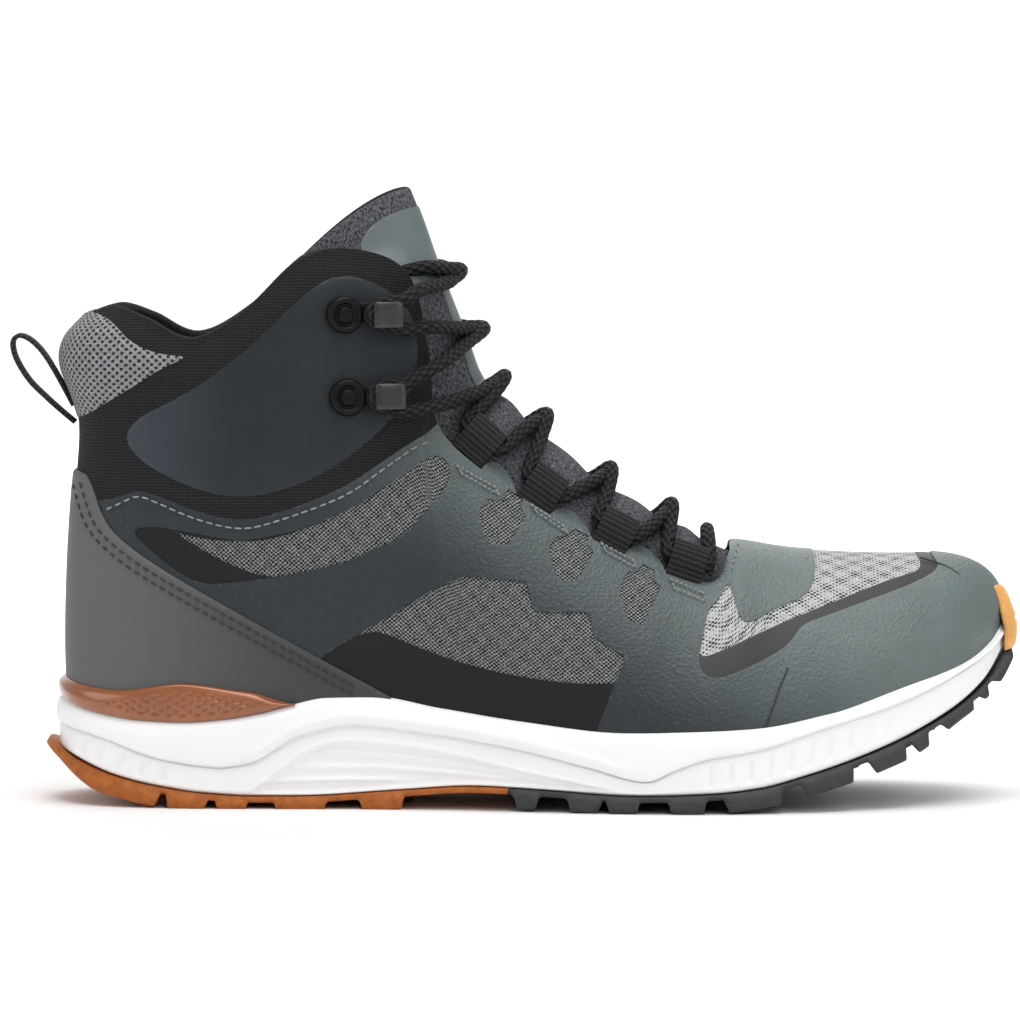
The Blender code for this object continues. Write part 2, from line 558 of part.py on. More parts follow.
def build_overlays(parts, cutters, slate, grey):
    """Film, toe cap, counter and ankle panels, cut from a thin shell over the last by side outlines."""
    cup = prism("cup_region", cup_top(), -90, 90, cutters)
    counter = prism("counter_region", COUNTER_OUTLINE, -90, 90, cutters)
    wide_counter = prism("counter_margin", [(x + 0.4, z + 0.4) for x, z in COUNTER_OUTLINE], -90, 90, cutters)
    above = prism("above_band", BAND_TOP, -90, 90, cutters)
    ahead = [(340, 110), (340, 10)]
    toe = prism("toe_region", TOE_SEAM + ahead, -90, 90, cutters)
    toe_margin = prism("toe_margin", [(x - TOE_SEAM_GAP, z) for x, z in TOE_SEAM] + ahead, -90, 90, cutters)
    windows = {name: prism(name, outline, -90, 90, cutters) for name, outline in WINDOWS.items()}
    petals = {"ankle_panel_lateral": (-90.0, 0.0), "ankle_panel_medial": (0.0, 90.0)}

    def shell(name, look, steps):
        made = last_mesh(name, parts, OVERLAY_LIFT)
        solidify(made, OVERLAY, 1.0)
        for operation, other in steps:
            boolean(made, operation, other)
        apply_all(made)
        finish(made, look)
    shell("heel_counter", grey, [("INTERSECT", counter), ("DIFFERENCE", cup)])
    shell("toe_cap", slate, [("INTERSECT", toe), ("DIFFERENCE", cup), ("DIFFERENCE", windows["toe_mesh"])])
    shell("quarter_film", slate, [("DIFFERENCE", above), ("DIFFERENCE", wide_counter), ("DIFFERENCE", cup),
                                  ("DIFFERENCE", toe_margin)]
          + [("DIFFERENCE", window) for window in windows.values()])
    for name, (y_from, y_to) in petals.items():
        shell(name, slate, [("INTERSECT", prism(name + "_region", PETAL_OUTLINE, y_from, y_to, cutters))])


def throat_edge(station, side):
    """Point of the throat's edge and outward normal of the last there, at a row of SECTIONS."""
    column = station * STEPS
    low = int(min(math.floor(column), TIP - 2))
    share = column - low

    def at(v):
        ribs = last_points([v])[:, 0]
        pair = [ribs[k if side == LATERAL else COLUMNS - k] for k in (low, low + 1)]
        return pair[0] * (1 - share) + pair[1] * share, pair[1] - pair[0]
    top, ahead = at(1.0)
    below, _ = at(0.96)
    normal = unit(np.cross(ahead, top - below))
    return top, normal if normal[1] * side > 0 else -normal


def tongue_table():
    """Apex, lateral edge, medial edge and thickness of the tongue's sections."""
    rows = []
    for row in TONGUE:
        edges = []
        for side in (LATERAL, MEDIAL):
            if row.station is None:
                edges.append((row.edge_x, TONGUE_MIDDLE + side * row.half_width, row.edge_z))
            else:
                top, normal = throat_edge(row.station, side)
                edges.append(top - normal * (UPPER_WALL + TONGUE_TUCK))
        rows.append((row.x, TONGUE_MIDDLE, row.z, *edges[0], *edges[1], row.thick))
    return np.array(rows)


TONGUE_TABLE = tongue_table()


def tongue_row(row):
    """Section values of the tongue at a whole or part row."""
    low = int(np.clip(math.floor(row), 0, len(TONGUE) - 2))
    before, beyond = max(low - 1, 0), min(low + 2, len(TONGUE) - 1)
    return spline(TONGUE_TABLE[before], TONGUE_TABLE[low], TONGUE_TABLE[low + 1], TONGUE_TABLE[beyond], row - low)


def tongue_point(row, across, lift=0.0):
    """Point on the tongue's top at a row and a share of the way to the throat's edge, lifted along the normal."""
    def top(r, s):
        values = tongue_row(r)
        apex, edge = values[:3], values[3:6] if s < 0 else values[6:9]
        fall = (edge - apex) * s * s
        fall[1] = (edge[1] - apex[1]) * abs(s)
        return apex + fall
    point = top(row, across)
    if not lift:
        return point
    ahead = top(min(row + 0.05, len(TONGUE) - 1), across) - top(max(row - 0.05, 0), across)
    sideways = top(row, across + 0.02) - top(row, across - 0.02)
    return point + unit(np.cross(sideways, ahead)) * lift


def build_tongue(parts, look):
    """Padded tongue through its arched sections, from under the vamp to above the collar."""
    sections = []
    for row in range(len(TONGUE)):
        thick = tongue_row(row)[-1]
        reach = TONGUE[row].reach
        top = [tongue_point(row, s * reach) for s in TONGUE_ACROSS]
        under = [tongue_point(row, s * reach * 0.97, -thick * (1 - 0.5 * s ** 6)) for s in TONGUE_ACROSS[::-1]]
        sections.append(np.array(top + under))
    finish(swept("tongue", sections, parts), look)


def loop_frame(row, side):
    """Middle of a webbing loop and its three directions: along the throat, up the tongue and out."""
    across = side * LOOP_ACROSS
    middle = tongue_point(row, across, LOOP.height / 2 + LOOP.strap + 0.5)
    ahead = unit(tongue_point(row + 0.1, across) - tongue_point(row - 0.1, across))
    out = unit(tongue_point(row, across, 1.0) - tongue_point(row, across))
    up = unit(np.cross(out, ahead)) * side
    return middle, ahead, up, out


def build_lace_loops(parts, look):
    """Webbing loops on both sides of the throat, each a flat ring that the lace runs through."""
    for side, word in ((LATERAL, "lateral"), (MEDIAL, "medial")):
        for number, row in enumerate(LOOP_ROWS, start=1):
            middle, ahead, up, out = loop_frame(row, side)
            sections = []
            for turn in np.arange(12) * math.tau / 12:
                reach = np.array([math.cos(turn), math.sin(turn)])
                reach = np.sign(reach) * np.abs(reach) ** 0.7
                wall = []
                for shift, grow in ((-1, 0), (1, 0), (1, 1), (-1, 1)):
                    half_length = LOOP.length / 2 + grow * LOOP.strap
                    half_height = LOOP.height / 2 + grow * LOOP.strap
                    wall.append(middle + ahead * shift * LOOP.width / 2 + up * reach[0] * half_length
                                + out * reach[1] * half_height)
                sections.append(np.array(wall))
            finish(swept("lace_loop_%s_%d" % (word, number), sections, parts, closed=True), look)


def seat(x, z, side):
    """Point and outward normal of the last at a place seen from one side."""
    shares = np.linspace(0.3, 1.0, 141)
    points = last_points(shares)
    half = np.arange(1, TIP) if side == LATERAL else np.arange(COLUMNS - 1, TIP, -1)
    points = points[half]
    far = (points[..., 0] - x) ** 2 + (points[..., 2] - z) ** 2
    k, j = np.unravel_index(np.argmin(far[1:-1, 1:-1]), far[1:-1, 1:-1].shape)
    k, j = k + 1, j + 1
    normal = unit(np.cross(points[k + 1, j] - points[k - 1, j], points[k, j + 1] - points[k, j - 1]))
    return points[k, j], normal if normal[1] * side > 0 else -normal


def hook_frame(place, side):
    """Foot of a hook on the ankle panel and its directions: forward, up and out."""
    point, out = seat(*place, side)
    forward = unit(np.cross(out, [0, 0, 1.0])) * -side
    forward = forward if forward[0] > 0 else -forward
    up = unit(np.cross(forward, out))
    up = up if up[2] > 0 else -up
    return point + out * (OVERLAY_LIFT + OVERLAY + 1.1), forward, up, out


def disc(foot, forward, up, out, radius, thick, sides=16):
    turns = np.arange(sides) * math.tau / sides
    rim = [foot + (forward * math.cos(t) + up * math.sin(t)) * radius for t in turns]
    return [np.array(rim), np.array(rim) + out * thick]


def plate(foot, forward, up, out, spans):
    """Eight corners of a block given by its spans forward, up and out."""
    (f0, f1), (u0, u1), (o0, o1) = spans
    return [foot + forward * f + up * u + out * o for o in (o0, o1) for f, u in ((f0, u0), (f1, u0), (f1, u1), (f0, u1))]


def build_hooks(parts, cutters, look):
    """Speed hooks: a round foot, a stem in front of it and an open plate that holds the lace down."""
    for side, word in ((LATERAL, "lateral"), (MEDIAL, "medial")):
        for number, place in enumerate(HOOKS, start=1):
            frame = hook_frame(place, side)
            name = "hook_%s_%d" % (word, number)
            hook = swept(name, disc(*frame, HOOK.base_radius, HOOK.base_thick), parts)
            half = HOOK.plate_width / 2
            stem = plate(*frame, ((2.8, 4.8), (-1.6, 1.6), (HOOK.base_thick * 0.5, HOOK.stem_height)))
            top = plate(*frame, ((3.2, 3.2 + HOOK.plate_length), (-half, half),
                                 (HOOK.stem_height - HOOK.plate_thick * 0.4, HOOK.stem_height + HOOK.plate_thick * 0.6)))
            for step, corners in (("stem", stem), ("plate", top)):
                boolean(hook, "UNION", blocks("%s_%s" % (name, step), [corners], cutters))
            apply_all(hook)
            finish(hook, look)


def tube(name, path, radius, home, sides=5):
    """Round cord along a path, with flat ends."""
    path = np.asarray(path, float)
    sections = []
    across = None
    for i, point in enumerate(path):
        ahead = unit(path[min(i + 1, len(path) - 1)] - path[max(i - 1, 0)])
        across = np.cross(ahead, [0.0, 0.3, 1.0]) if across is None else across - ahead * np.dot(across, ahead)
        across = unit(across)
        other = np.cross(ahead, across)
        turns = np.arange(sides) * math.tau / sides
        sections.append(np.array([point + (across * math.cos(t) + other * math.sin(t)) * radius for t in turns]))
    return swept(name, sections, home)


def rounded(points, steps=2):
    """Smooth open path through points."""
    points = np.asarray(points, float)
    padded = np.vstack([2 * points[0] - points[1], points, 2 * points[-1] - points[-2]])
    path = [spline(*padded[i:i + 4], step / steps) for i in range(len(points) - 1) for step in range(steps)]
    return np.array(path + [points[-1]])


def around_hook(number, side):
    """Turn of the lace over the throat's edge, around a hook's stem from below and back over the edge."""
    foot, forward, up, out = hook_frame(HOOKS[number], side)
    middle = HOOK.base_thick + LACE_RADIUS + 0.4
    turn = [(9.0, -4.9), (4.6, -4.6), (0.4, -3.4), (-0.9, 0.0), (0.4, 3.4), (4.6, 4.6), (9.0, 4.9)]
    points = [foot + forward * f + up * u + out * middle for f, u in turn]
    lift = OVERLAY_LIFT + OVERLAY + LACE_RADIUS + 1.6
    over = [top + normal * lift for top, normal in (throat_edge(at, side) for at in HOOK_EDGES[number])]
    return [over[0]] + points + [over[1]]


def lace_path(first_side):
    """Path of one half of the lace, from the inner front loop over the crossings and hooks to its hidden end."""
    def through(row, side):
        middle, ahead, up, out = loop_frame(row, side)
        return [middle - ahead * 6.8, middle - ahead * 3, middle + ahead * 3, middle + ahead * 6.8]

    def over(row, side):
        share, lift = 0.4, LACE_LIFT + 0.6
        return [tongue_point(row - 0.1, side * share, lift), tongue_point(row, 0.0, lift),
                tongue_point(row + 0.1, -side * share, lift)]
    middle, ahead, up, out = loop_frame(LOOP_ROWS[0], MEDIAL)
    start = through(LOOP_ROWS[0], MEDIAL)
    if first_side == LATERAL:
        bar = [tongue_point(BAR_ROW, side * 0.45, LACE_LIFT + 0.8) for side in (MEDIAL, 0.0, LATERAL)]
        path = [middle - ahead * GAP, start[0]] + bar + through(LOOP_ROWS[0], LATERAL)
    else:
        path = [middle + ahead * GAP, start[3]]
    side = first_side
    stops = [through(row, -side * (-1) ** number) for number, row in enumerate(LOOP_ROWS[1:])]
    stops += [around_hook(number, side * (-1) ** number) for number in range(len(HOOKS))]
    for crossing, stop in zip(CROSSING_ROWS, stops):
        path += over(crossing, side) + stop
        side = -side
    return rounded(path + over(END_ROW, side))


def build_lace(parts, cutters, look):
    """Both halves of the lace, joined into one solid where they cross."""
    lace = tube("lace", lace_path(LATERAL), LACE_RADIUS, parts)
    boolean(lace, "UNION", tube("lace_other_half", lace_path(MEDIAL), LACE_RADIUS, cutters))
    apply_all(lace)
    finish(lace, look)


def build_pull_loop(parts, look):
    """Webbing loop behind the collar, a flat strap along its path."""
    path = np.array([(x, 0.0, z) for x, z in PULL_PATH])
    sections = []
    for i, point in enumerate(path):
        ahead = unit(path[min(i + 1, len(path) - 1)] - path[max(i - 1, 0)])
        out = np.array([ahead[2], 0.0, -ahead[0]])
        sections.append(np.array([point + out * o * PULL_THICK / 2 + [0, w * PULL_WIDTH / 2, 0]
                                  for o, w in ((-1, -1), (1, -1), (1, 1), (-1, 1))]))
    finish(swept("pull_loop", sections, parts), look)


def main():
    for old in list(bpy.data.objects):
        bpy.data.objects.remove(old, do_unlink=True)
    parts = collection("fishing_boot")
    cutters = collection("cutters")
    cutters.hide_render = True
    foam = material("white foam", (0.84, 0.84, 0.83), 0.6)
    gum = material("gum rubber", (0.55, 0.19, 0.05), 0.6)
    black_rubber = material("black rubber", (0.03, 0.033, 0.034), 0.7)
    amber = material("amber rubber", (0.72, 0.40, 0.14), 0.6)
    copper = material("copper plastic", (0.36, 0.13, 0.06), 0.3)
    felt = material("grey foam", (0.10, 0.10, 0.105), 0.9)
    mesh_cloth = material("knitted mesh", (0.16, 0.16, 0.165), 0.85)
    slate = material("slate film", (0.10, 0.135, 0.14), 0.5)
    grey = material("grey rubberised film", (0.105, 0.105, 0.107), 0.6)
    heather = material("heather knit", (0.055, 0.055, 0.062), 0.9)
    cord = material("black cord", (0.02, 0.02, 0.022), 0.8)
    metal = material("black metal", (0.03, 0.03, 0.032), 0.35, 0.8)
    build_midsole(parts, cutters, foam)
    build_outsoles(parts, cutters, gum, black_rubber)
    build_heel_clip(parts, copper)
    build_toe_guard(parts, amber)
    build_insole(parts, felt)
    build_upper(parts, mesh_cloth)
    build_overlays(parts, cutters, slate, grey)
    build_tongue(parts, heather)
    build_lace_loops(parts, cord)
    build_hooks(parts, cutters, metal)
    build_lace(parts, cutters, cord)
    build_pull_loop(parts, cord)


main()
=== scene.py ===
# Looks of a mid-cut fishing boot, right shoe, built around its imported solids.
# Sizes are millimetres of the shoe: x from the back of the heel to the toe, y from the outer (lateral) to the
# inner (medial) side, z up from the floor. shoeOrigin is the part's origin in those millimetres.
import math

import bpy
import numpy as np
from mathutils import Matrix


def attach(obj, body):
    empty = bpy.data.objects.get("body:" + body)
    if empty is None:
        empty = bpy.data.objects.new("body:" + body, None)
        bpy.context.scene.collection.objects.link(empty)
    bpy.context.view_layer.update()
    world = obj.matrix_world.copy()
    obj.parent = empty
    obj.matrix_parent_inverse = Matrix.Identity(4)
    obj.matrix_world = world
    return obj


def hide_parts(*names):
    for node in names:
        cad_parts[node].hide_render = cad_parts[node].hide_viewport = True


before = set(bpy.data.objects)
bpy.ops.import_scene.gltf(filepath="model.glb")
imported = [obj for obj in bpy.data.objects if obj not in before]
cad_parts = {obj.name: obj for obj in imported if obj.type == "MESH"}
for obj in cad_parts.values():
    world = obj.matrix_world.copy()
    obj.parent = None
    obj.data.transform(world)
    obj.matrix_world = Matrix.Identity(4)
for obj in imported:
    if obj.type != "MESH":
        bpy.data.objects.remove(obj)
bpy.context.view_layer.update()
mm = 0.001
shoeOrigin = np.array([146.0, -2.4, 0.0])
lateral, medial = -1.0, 1.0
bothSides = {"lateral": lateral, "medial": medial}
print("frame loaded:", len(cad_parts), "nodes")

# The last: plan of the sole, and one rib for each section from heel to toe tip with its top and handles.
lastNames = "x lateral medial topX topLateral topMedial topZ footOut footUp headX headOut headDown".split()
lastRows = np.array([
    (2.5, 0.0, 0.0, 16.8, 0.0, 0.0, 150.5, 0.7, 38, 0, 9.0, 40),
    (5.0, -15.0, 14.5, 18.6, -10.0, 10.0, 152.0, 0.7, 38, 0, 8.5, 40),
    (12.0, -26.0, 24.5, 24.0, -18.0, 17.5, 153.7, 0.8, 38, 0, 7.0, 42),
    (26.0, -34.5, 32.0, 33.0, -25.5, 24.5, 150.0, 1.0, 38, 0, 4.5, 42),
    (44.0, -38.0, 34.5, 46.0, -30.5, 29.0, 143.8, 1.0, 36, 0, 3.0, 40),
    (62.0, -39.0, 34.5, 62.0, -32.5, 30.5, 152.0, 1.0, 36, 0, 3.0, 42),
    (80.0, -39.5, 33.5, 80.0, -32.0, 30.0, 168.5, 1.0, 36, -1, 4.0, 48),
    (97.0, -40.0, 32.5, 97.0, -28.0, 26.5, 171.5, 1.0, 36, -3, 6.0, 50),
    (112.0, -41.5, 32.5, 113.0, -22.5, 21.5, 164.0, 1.0, 36, -6, 9.0, 46),
    (126.0, -43.5, 33.5, 119.0, -23.6, 22.4, 141.0, 1.0, 34, -6, 11.0, 38),
    (140.0, -46.5, 35.5, 122.0, -25.3, 23.6, 118.0, 1.5, 31, -5, 12.0, 29),
    (155.0, -50.0, 38.5, 136.5, -26.5, 24.6, 103.0, 2.0, 28, -3, 13.5, 21),
    (172.0, -53.5, 42.5, 160.0, -26.0, 25.0, 87.9, 2.0, 25, -2, 15.0, 16),
    (190.0, -56.0, 47.0, 184.0, -24.5, 25.0, 76.0, 2.5, 22, 0, 15.0, 12),
    (207.0, -56.3, 49.8, 206.0, -21.0, 23.5, 68.2, 2.5, 21, 0, 15.0, 8),
    (217.0, -55.4, 50.9, 212.4, -12.0, 15.0, 76.4, 2.5, 22, 2, 18.0, 4),
    (229.0, -53.0, 51.0, 214.5, 2.0, 2.0, 80.2, 2.5, 23, 3, 21.0, 1),
    (243.0, -48.8, 49.5, 229.0, 4.0, 4.0, 77.8, 2.5, 24, 2, 21.0, 0),
    (259.0, -41.0, 46.0, 243.0, 6.0, 6.0, 76.6, 2.5, 25, 0, 21.0, 0),
    (274.0, -31.0, 40.5, 255.0, 7.5, 7.5, 76.0, 2.5, 25, 0, 21.0, 0),
    (287.0, -19.0, 32.5, 263.0, 9.0, 9.0, 75.8, 2.5, 24, 0, 21.0, 0),
    (296.5, -4.5, 22.0, 268.0, 10.0, 10.0, 75.8, 2.8, 21, 0, 22.0, 0),
    (300.8, 9.5, 9.5, 271.0, 10.0, 10.0, 75.8, 3.2, 19, 0, 23.0, 0),
])
ridgeRow, collarRow = 16, 8

# Side profiles of the sole, as (x, z).
jointLine = [(0, 20), (3, 16.8), (8, 14.8), (21, 10), (35, 6.9), (50, 4.8), (65, 4), (80, 4.1), (112, 6.2),
             (133, 7.6), (157, 6.7), (182, 5.5), (206, 6.2), (221, 7.8), (235, 11.2), (258, 18.4),
             (278, 27.1), (293, 37.2), (300, 47.5), (304, 57)]
stepLine = [(0, 25), (17, 21.2), (38, 14.7), (55, 12.7), (64, 14), (80, 22.7), (96, 25.9), (117, 23.8),
            (146, 19.2), (168, 14), (186, 9.8), (195, 13.4), (205, 16.8), (221, 19.5), (240, 25.2),
            (266, 32.6), (288, 42.2), (296, 47.2), (304, 55)]
rimLine = [(0, 34), (8, 30.5), (18, 28.3), (30, 26.9), (43, 26.5), (56, 27.4), (68, 29.4), (78, 32.1),
           (88, 34), (101, 34.2), (123, 30.7), (147, 27.2), (179, 24.2), (203, 24.7), (221, 25.6),
           (246, 30.3), (272, 39.2), (288, 44.8), (296, 49.9), (300, 54.5), (304, 59)]
clipLine = [(0, 39), (8, 37.3), (22, 36), (43, 38.3), (61, 36.2), (78, 34.2), (90, 33.8), (101, 33.5)]
bedLine = [(0, 24), (80, 24), (112, 23), (145, 19.5), (175, 16.5), (200, 16), (225, 17.8), (250, 23),
           (272, 30.5), (288, 39), (296, 46), (304, 54)]
# The cup holds the upper's foot until hold above its rim; the toe spreads over the rows in toeRows.
sole = {"cupWall": 4.3, "gap": 0.3, "hold": 14.0, "clipEnd": 78.0, "toeSpread": 2.2, "toeRows": (15.5, 19.0),
        "tuck": 3.0}
heelTab = {"height": 139.5, "spread": 15.0, "out": 8.5, "reach": (12.0, 44.0)}
wall = {"shell": 2.0, "collar": 5.0, "roll": 1.2, "rollAt": 0.94, "rollFrom": 0.8, "padRise": (88, 128),
        "padEnd": (70, 104)}


def along(line, x):
    # monotone cubic through the line's rows: no overshoot between them
    xs, zs = np.array(line, float).T
    slopes = np.diff(zs) / np.diff(xs)
    tangents = np.concatenate([slopes[:1], np.zeros(len(xs) - 2), slopes[-1:]])
    rising = slopes[:-1] * slopes[1:] > 0
    tangents[1:-1][rising] = 2 * (slopes[:-1] * slopes[1:])[rising] / (slopes[:-1] + slopes[1:])[rising]
    x = np.clip(np.asarray(x, float), xs[0], xs[-1])
    row = np.clip(np.searchsorted(xs, x, side="right") - 1, 0, len(xs) - 2)
    width = xs[row + 1] - xs[row]
    t = (x - xs[row]) / width
    return ((1 + 2 * t) * (1 - t) ** 2 * zs[row] + t * (1 - t) ** 2 * width * tangents[row]
            + t * t * (3 - 2 * t) * zs[row + 1] - t * t * (1 - t) * width * tangents[row + 1])


def smoothStep(low, high, value):
    # cubic step from 0 at low to 1 at high, level at both ends
    t = np.clip((np.asarray(value, float) - low) / (high - low), 0.0, 1.0)
    return t * t * (3 - 2 * t)


def spline(before, here, after, beyond, t):
    # Catmull-Rom step from here to after
    return 0.5 * (2 * here + (after - before) * t + (2 * before - 5 * here + 4 * after - beyond) * t * t
                  + (3 * here - before - 3 * after + beyond) * t ** 3)


def closedSpline(rows, steps):
    # Catmull-Rom curve through the rows and back to the first, with steps parts between each two
    parts = [spline(np.roll(rows, 1, 0), rows, np.roll(rows, -1, 0), np.roll(rows, -2, 0), step / steps)
             for step in range(steps)]
    return np.stack(parts, axis=1).reshape(len(rows) * steps, -1)


def openSpline(points, steps):
    # smooth path through points, with steps parts between each two
    points = np.asarray(points, float)
    padded = np.concatenate([2 * points[:1] - points[1:2], points, 2 * points[-1:] - points[-2:-1]])
    t = (np.arange(steps) / steps).reshape(1, -1, *([1] * (points.ndim - 1)))
    parts = spline(padded[:-3, None], padded[1:-2, None], padded[2:-1, None], padded[3:, None], t)
    return np.concatenate([parts.reshape(-1, *points.shape[1:]), points[-1:]])


def unit(vectors):
    # each vector divided by its length
    return vectors / np.maximum(np.linalg.norm(vectors, axis=-1, keepdims=True), 1e-9)


def arcLength(path):
    # length along the path from its start to each of its points
    return np.concatenate([[0.0], np.cumsum(np.linalg.norm(np.diff(path, axis=0), axis=1))])


def lastShape(steps):
    # columns around the shoe: heel, lateral side, toe tip, medial side, with steps columns for each section
    at = {name: lastRows[:, i] for i, name in enumerate(lastNames)}
    handles = [at[name] for name in ("topZ", "footOut", "footUp", "headX", "headOut", "headDown")]
    outer = np.column_stack([at["x"], at["lateral"], at["topX"], at["topLateral"]] + handles)
    inner = np.column_stack([at["x"], at["medial"], at["topX"], at["topMedial"]] + handles)
    columns = closedSpline(np.concatenate([outer, inner[-2:0:-1]]), steps)
    count = len(columns)
    order = np.arange(count)
    station = np.minimum(order, count - order) / steps
    mirrored = columns[(count - order) % count]
    onRidge = station >= ridgeRow
    columns[onRidge, 2:] = 0.5 * (columns + mirrored)[onRidge, 2:]
    plan = columns[:, :2]
    ahead = np.roll(plan, -1, 0) - np.roll(plan, 1, 0)
    normals = unit(np.stack([ahead[:, 1], -ahead[:, 0]], axis=1))
    return {"plan": plan, "normals": normals, "heads": columns[:, 2:], "station": station, "tip": count // 2}


def ringAround(shape, inset, height):
    # the plan's loop moved inwards by inset, at the height that belongs to its x
    flat = shape["plan"] - shape["normals"] * inset
    return np.column_stack([flat, height(flat[:, 0])])


def lastPoints(shape, shares):
    # outer surface of the upper: a cubic Bezier rib in each column, held inside the cup at its foot, with the
    # heel tab's bulge and the collar's roll added along the plan's normal
    heads, station = shape["heads"], shape["station"]
    out = np.column_stack([shape["normals"], np.zeros(len(heads))])
    up = np.array([0.0, 0.0, 1.0])
    inset = sole["cupWall"] + sole["gap"] - sole["toeSpread"] * smoothStep(*sole["toeRows"], station)
    foot = ringAround(shape, inset[:, None], lambda x: along(bedLine, x) + sole["gap"])
    top = heads[:, :3]
    footHandle = foot + out * heads[:, 3:4] + up * heads[:, 4:5]
    headHandle = top + out * heads[:, 6:7] - up * heads[:, 7:8] + np.array([1.0, 0.0, 0.0]) * heads[:, 5:6]
    t = np.asarray(shares, float)[None, :, None]
    points = ((1 - t) ** 3 * foot[:, None] + 3 * t * (1 - t) ** 2 * footHandle[:, None]
              + 3 * t * t * (1 - t) * headHandle[:, None] + t ** 3 * top[:, None])
    bulge = np.sum((points - foot[:, None]) * out[:, None], axis=2)
    planX = shape["plan"][:, 0]
    cup = np.maximum(along(rimLine, planX), np.where(station < ridgeRow / 2, along(clipLine, planX), 0.0))
    free = smoothStep(1.0, sole["hold"], points[..., 2] - cup[:, None])
    points = points - out[:, None] * (np.maximum(bulge, 0.0) * (1 - free))[..., None]
    tab = heelTab["out"] * np.exp(-((points[..., 2] - heelTab["height"]) / heelTab["spread"]) ** 2)
    tab = tab * (1 - smoothStep(*heelTab["reach"], points[..., 0]))
    roll = wall["roll"] * smoothStep(wall["rollFrom"], wall["rollAt"], t[..., 0])
    roll = roll * (1 - smoothStep(wall["rollAt"], 1.0, t[..., 0]))
    roll = roll * (1 - smoothStep(collarRow - 1, collarRow, station))[:, None]
    return points + out[:, None] * (tab + roll)[..., None]


def gridNormals(points, closed):
    # cross product of the grid's two directions, by central differences
    if closed:
        across = np.roll(points, -1, 0) - np.roll(points, 1, 0)
    else:
        across = np.gradient(points, axis=0)
    return unit(np.cross(across, np.gradient(points, axis=1)))


def gridFaces(columns, rows, closed, start=0):
    # quads of a grid whose points are stored column by column
    k = np.arange(columns if closed else columns - 1)[:, None]
    j = np.arange(rows - 1)[None, :]
    n = (k + 1) % columns
    quads = np.stack([k * rows + j, n * rows + j, n * rows + j + 1, k * rows + j + 1], axis=-1)
    return quads.reshape(-1, 4) + start


def tubeQuads(count, around):
    # quads between like closed sections of points, stored one section after another
    k, i = np.arange(count - 1)[:, None], np.arange(around)[None, :]
    n = (i + 1) % around
    quads = np.stack([k * around + i, k * around + n, (k + 1) * around + n, (k + 1) * around + i], axis=-1)
    return quads.reshape(-1, 4)


def putMesh(name, points, faces, looks, marks=None, faceLooks=None, weld=0.0):
    # mesh of points in shoe millimetres; faces is one array or a list of arrays of triangles and quads, marks
    # are point attributes of three numbers
    faces = faces if isinstance(faces, list) else [faces]
    mesh = bpy.data.meshes.new(name)
    points = np.asarray(points, float).reshape(-1, 3)
    mesh.vertices.add(len(points))
    mesh.vertices.foreach_set("co", ((points - shoeOrigin) * mm).astype(np.float32).ravel())
    loops = np.concatenate([part.ravel() for part in faces]).astype(np.int32)
    sizes = np.concatenate([np.full(len(part), part.shape[1]) for part in faces]).astype(np.int32)
    mesh.loops.add(len(loops))
    mesh.loops.foreach_set("vertex_index", loops)
    mesh.polygons.add(len(sizes))
    mesh.polygons.foreach_set("loop_start", np.concatenate([[0], np.cumsum(sizes)[:-1]]).astype(np.int32))
    for look in looks:
        mesh.materials.append(look)
    if faceLooks is not None:
        mesh.polygons.foreach_set("material_index", faceLooks.astype(np.int32))
    for key, values in (marks or {}).items():
        layer = mesh.attributes.new(key, "FLOAT_VECTOR", "POINT")
        layer.data.foreach_set("vector", np.asarray(values, np.float32).ravel())
    mesh.update(calc_edges=True)
    mesh.validate()
    mesh.shade_smooth()
    made = bpy.data.objects.new(name, mesh)
    bpy.context.scene.collection.objects.link(made)
    if weld:
        step = made.modifiers.new("weld", "WELD")
        step.merge_threshold = weld * mm
    return made


def settle(piece, slot, *nodes):
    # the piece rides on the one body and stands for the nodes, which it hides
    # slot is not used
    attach(piece, "root")
    if nodes:
        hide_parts(*nodes)
    return piece


def roundCorners(outline, radius):
    # closed outline with a parabola at each corner, radius long on both sides or half a side at most
    corner = np.asarray(outline, float)
    before, after = np.roll(corner, 1, 0) - corner, np.roll(corner, -1, 0) - corner
    start = corner + before * np.minimum(radius / np.linalg.norm(before, axis=1), 0.5)[:, None]
    end = corner + after * np.minimum(radius / np.linalg.norm(after, axis=1), 0.5)[:, None]
    t = np.linspace(0.0, 1.0, 5)[None, :, None]
    curve = (1 - t) ** 2 * start[:, None] + 2 * t * (1 - t) * corner[:, None] + t * t * end[:, None]
    return curve.reshape(-1, 2)


def outlineField(outline, x, z, radius):
    # signed distance to a closed outline seen from the side, in millimetres, positive inside
    points = roundCorners(outline, radius)
    nearest = np.full(x.shape, 1e9)
    inside = np.zeros(x.shape, bool)
    for (ax, az), (bx, bz) in zip(points, np.roll(points, -1, 0)):
        ex, ez = bx - ax, bz - az
        t = np.clip(((x - ax) * ex + (z - az) * ez) / max(ex * ex + ez * ez, 1e-9), 0.0, 1.0)
        nearest = np.minimum(nearest, (x - ax - ex * t) ** 2 + (z - az - ez * t) ** 2)
        inside ^= ((az > z) != (bz > z)) & (x < ax + ex * (z - az) / (ez if abs(ez) > 1e-9 else 1e-9))
    return np.where(inside, np.sqrt(nearest), -np.sqrt(nearest))


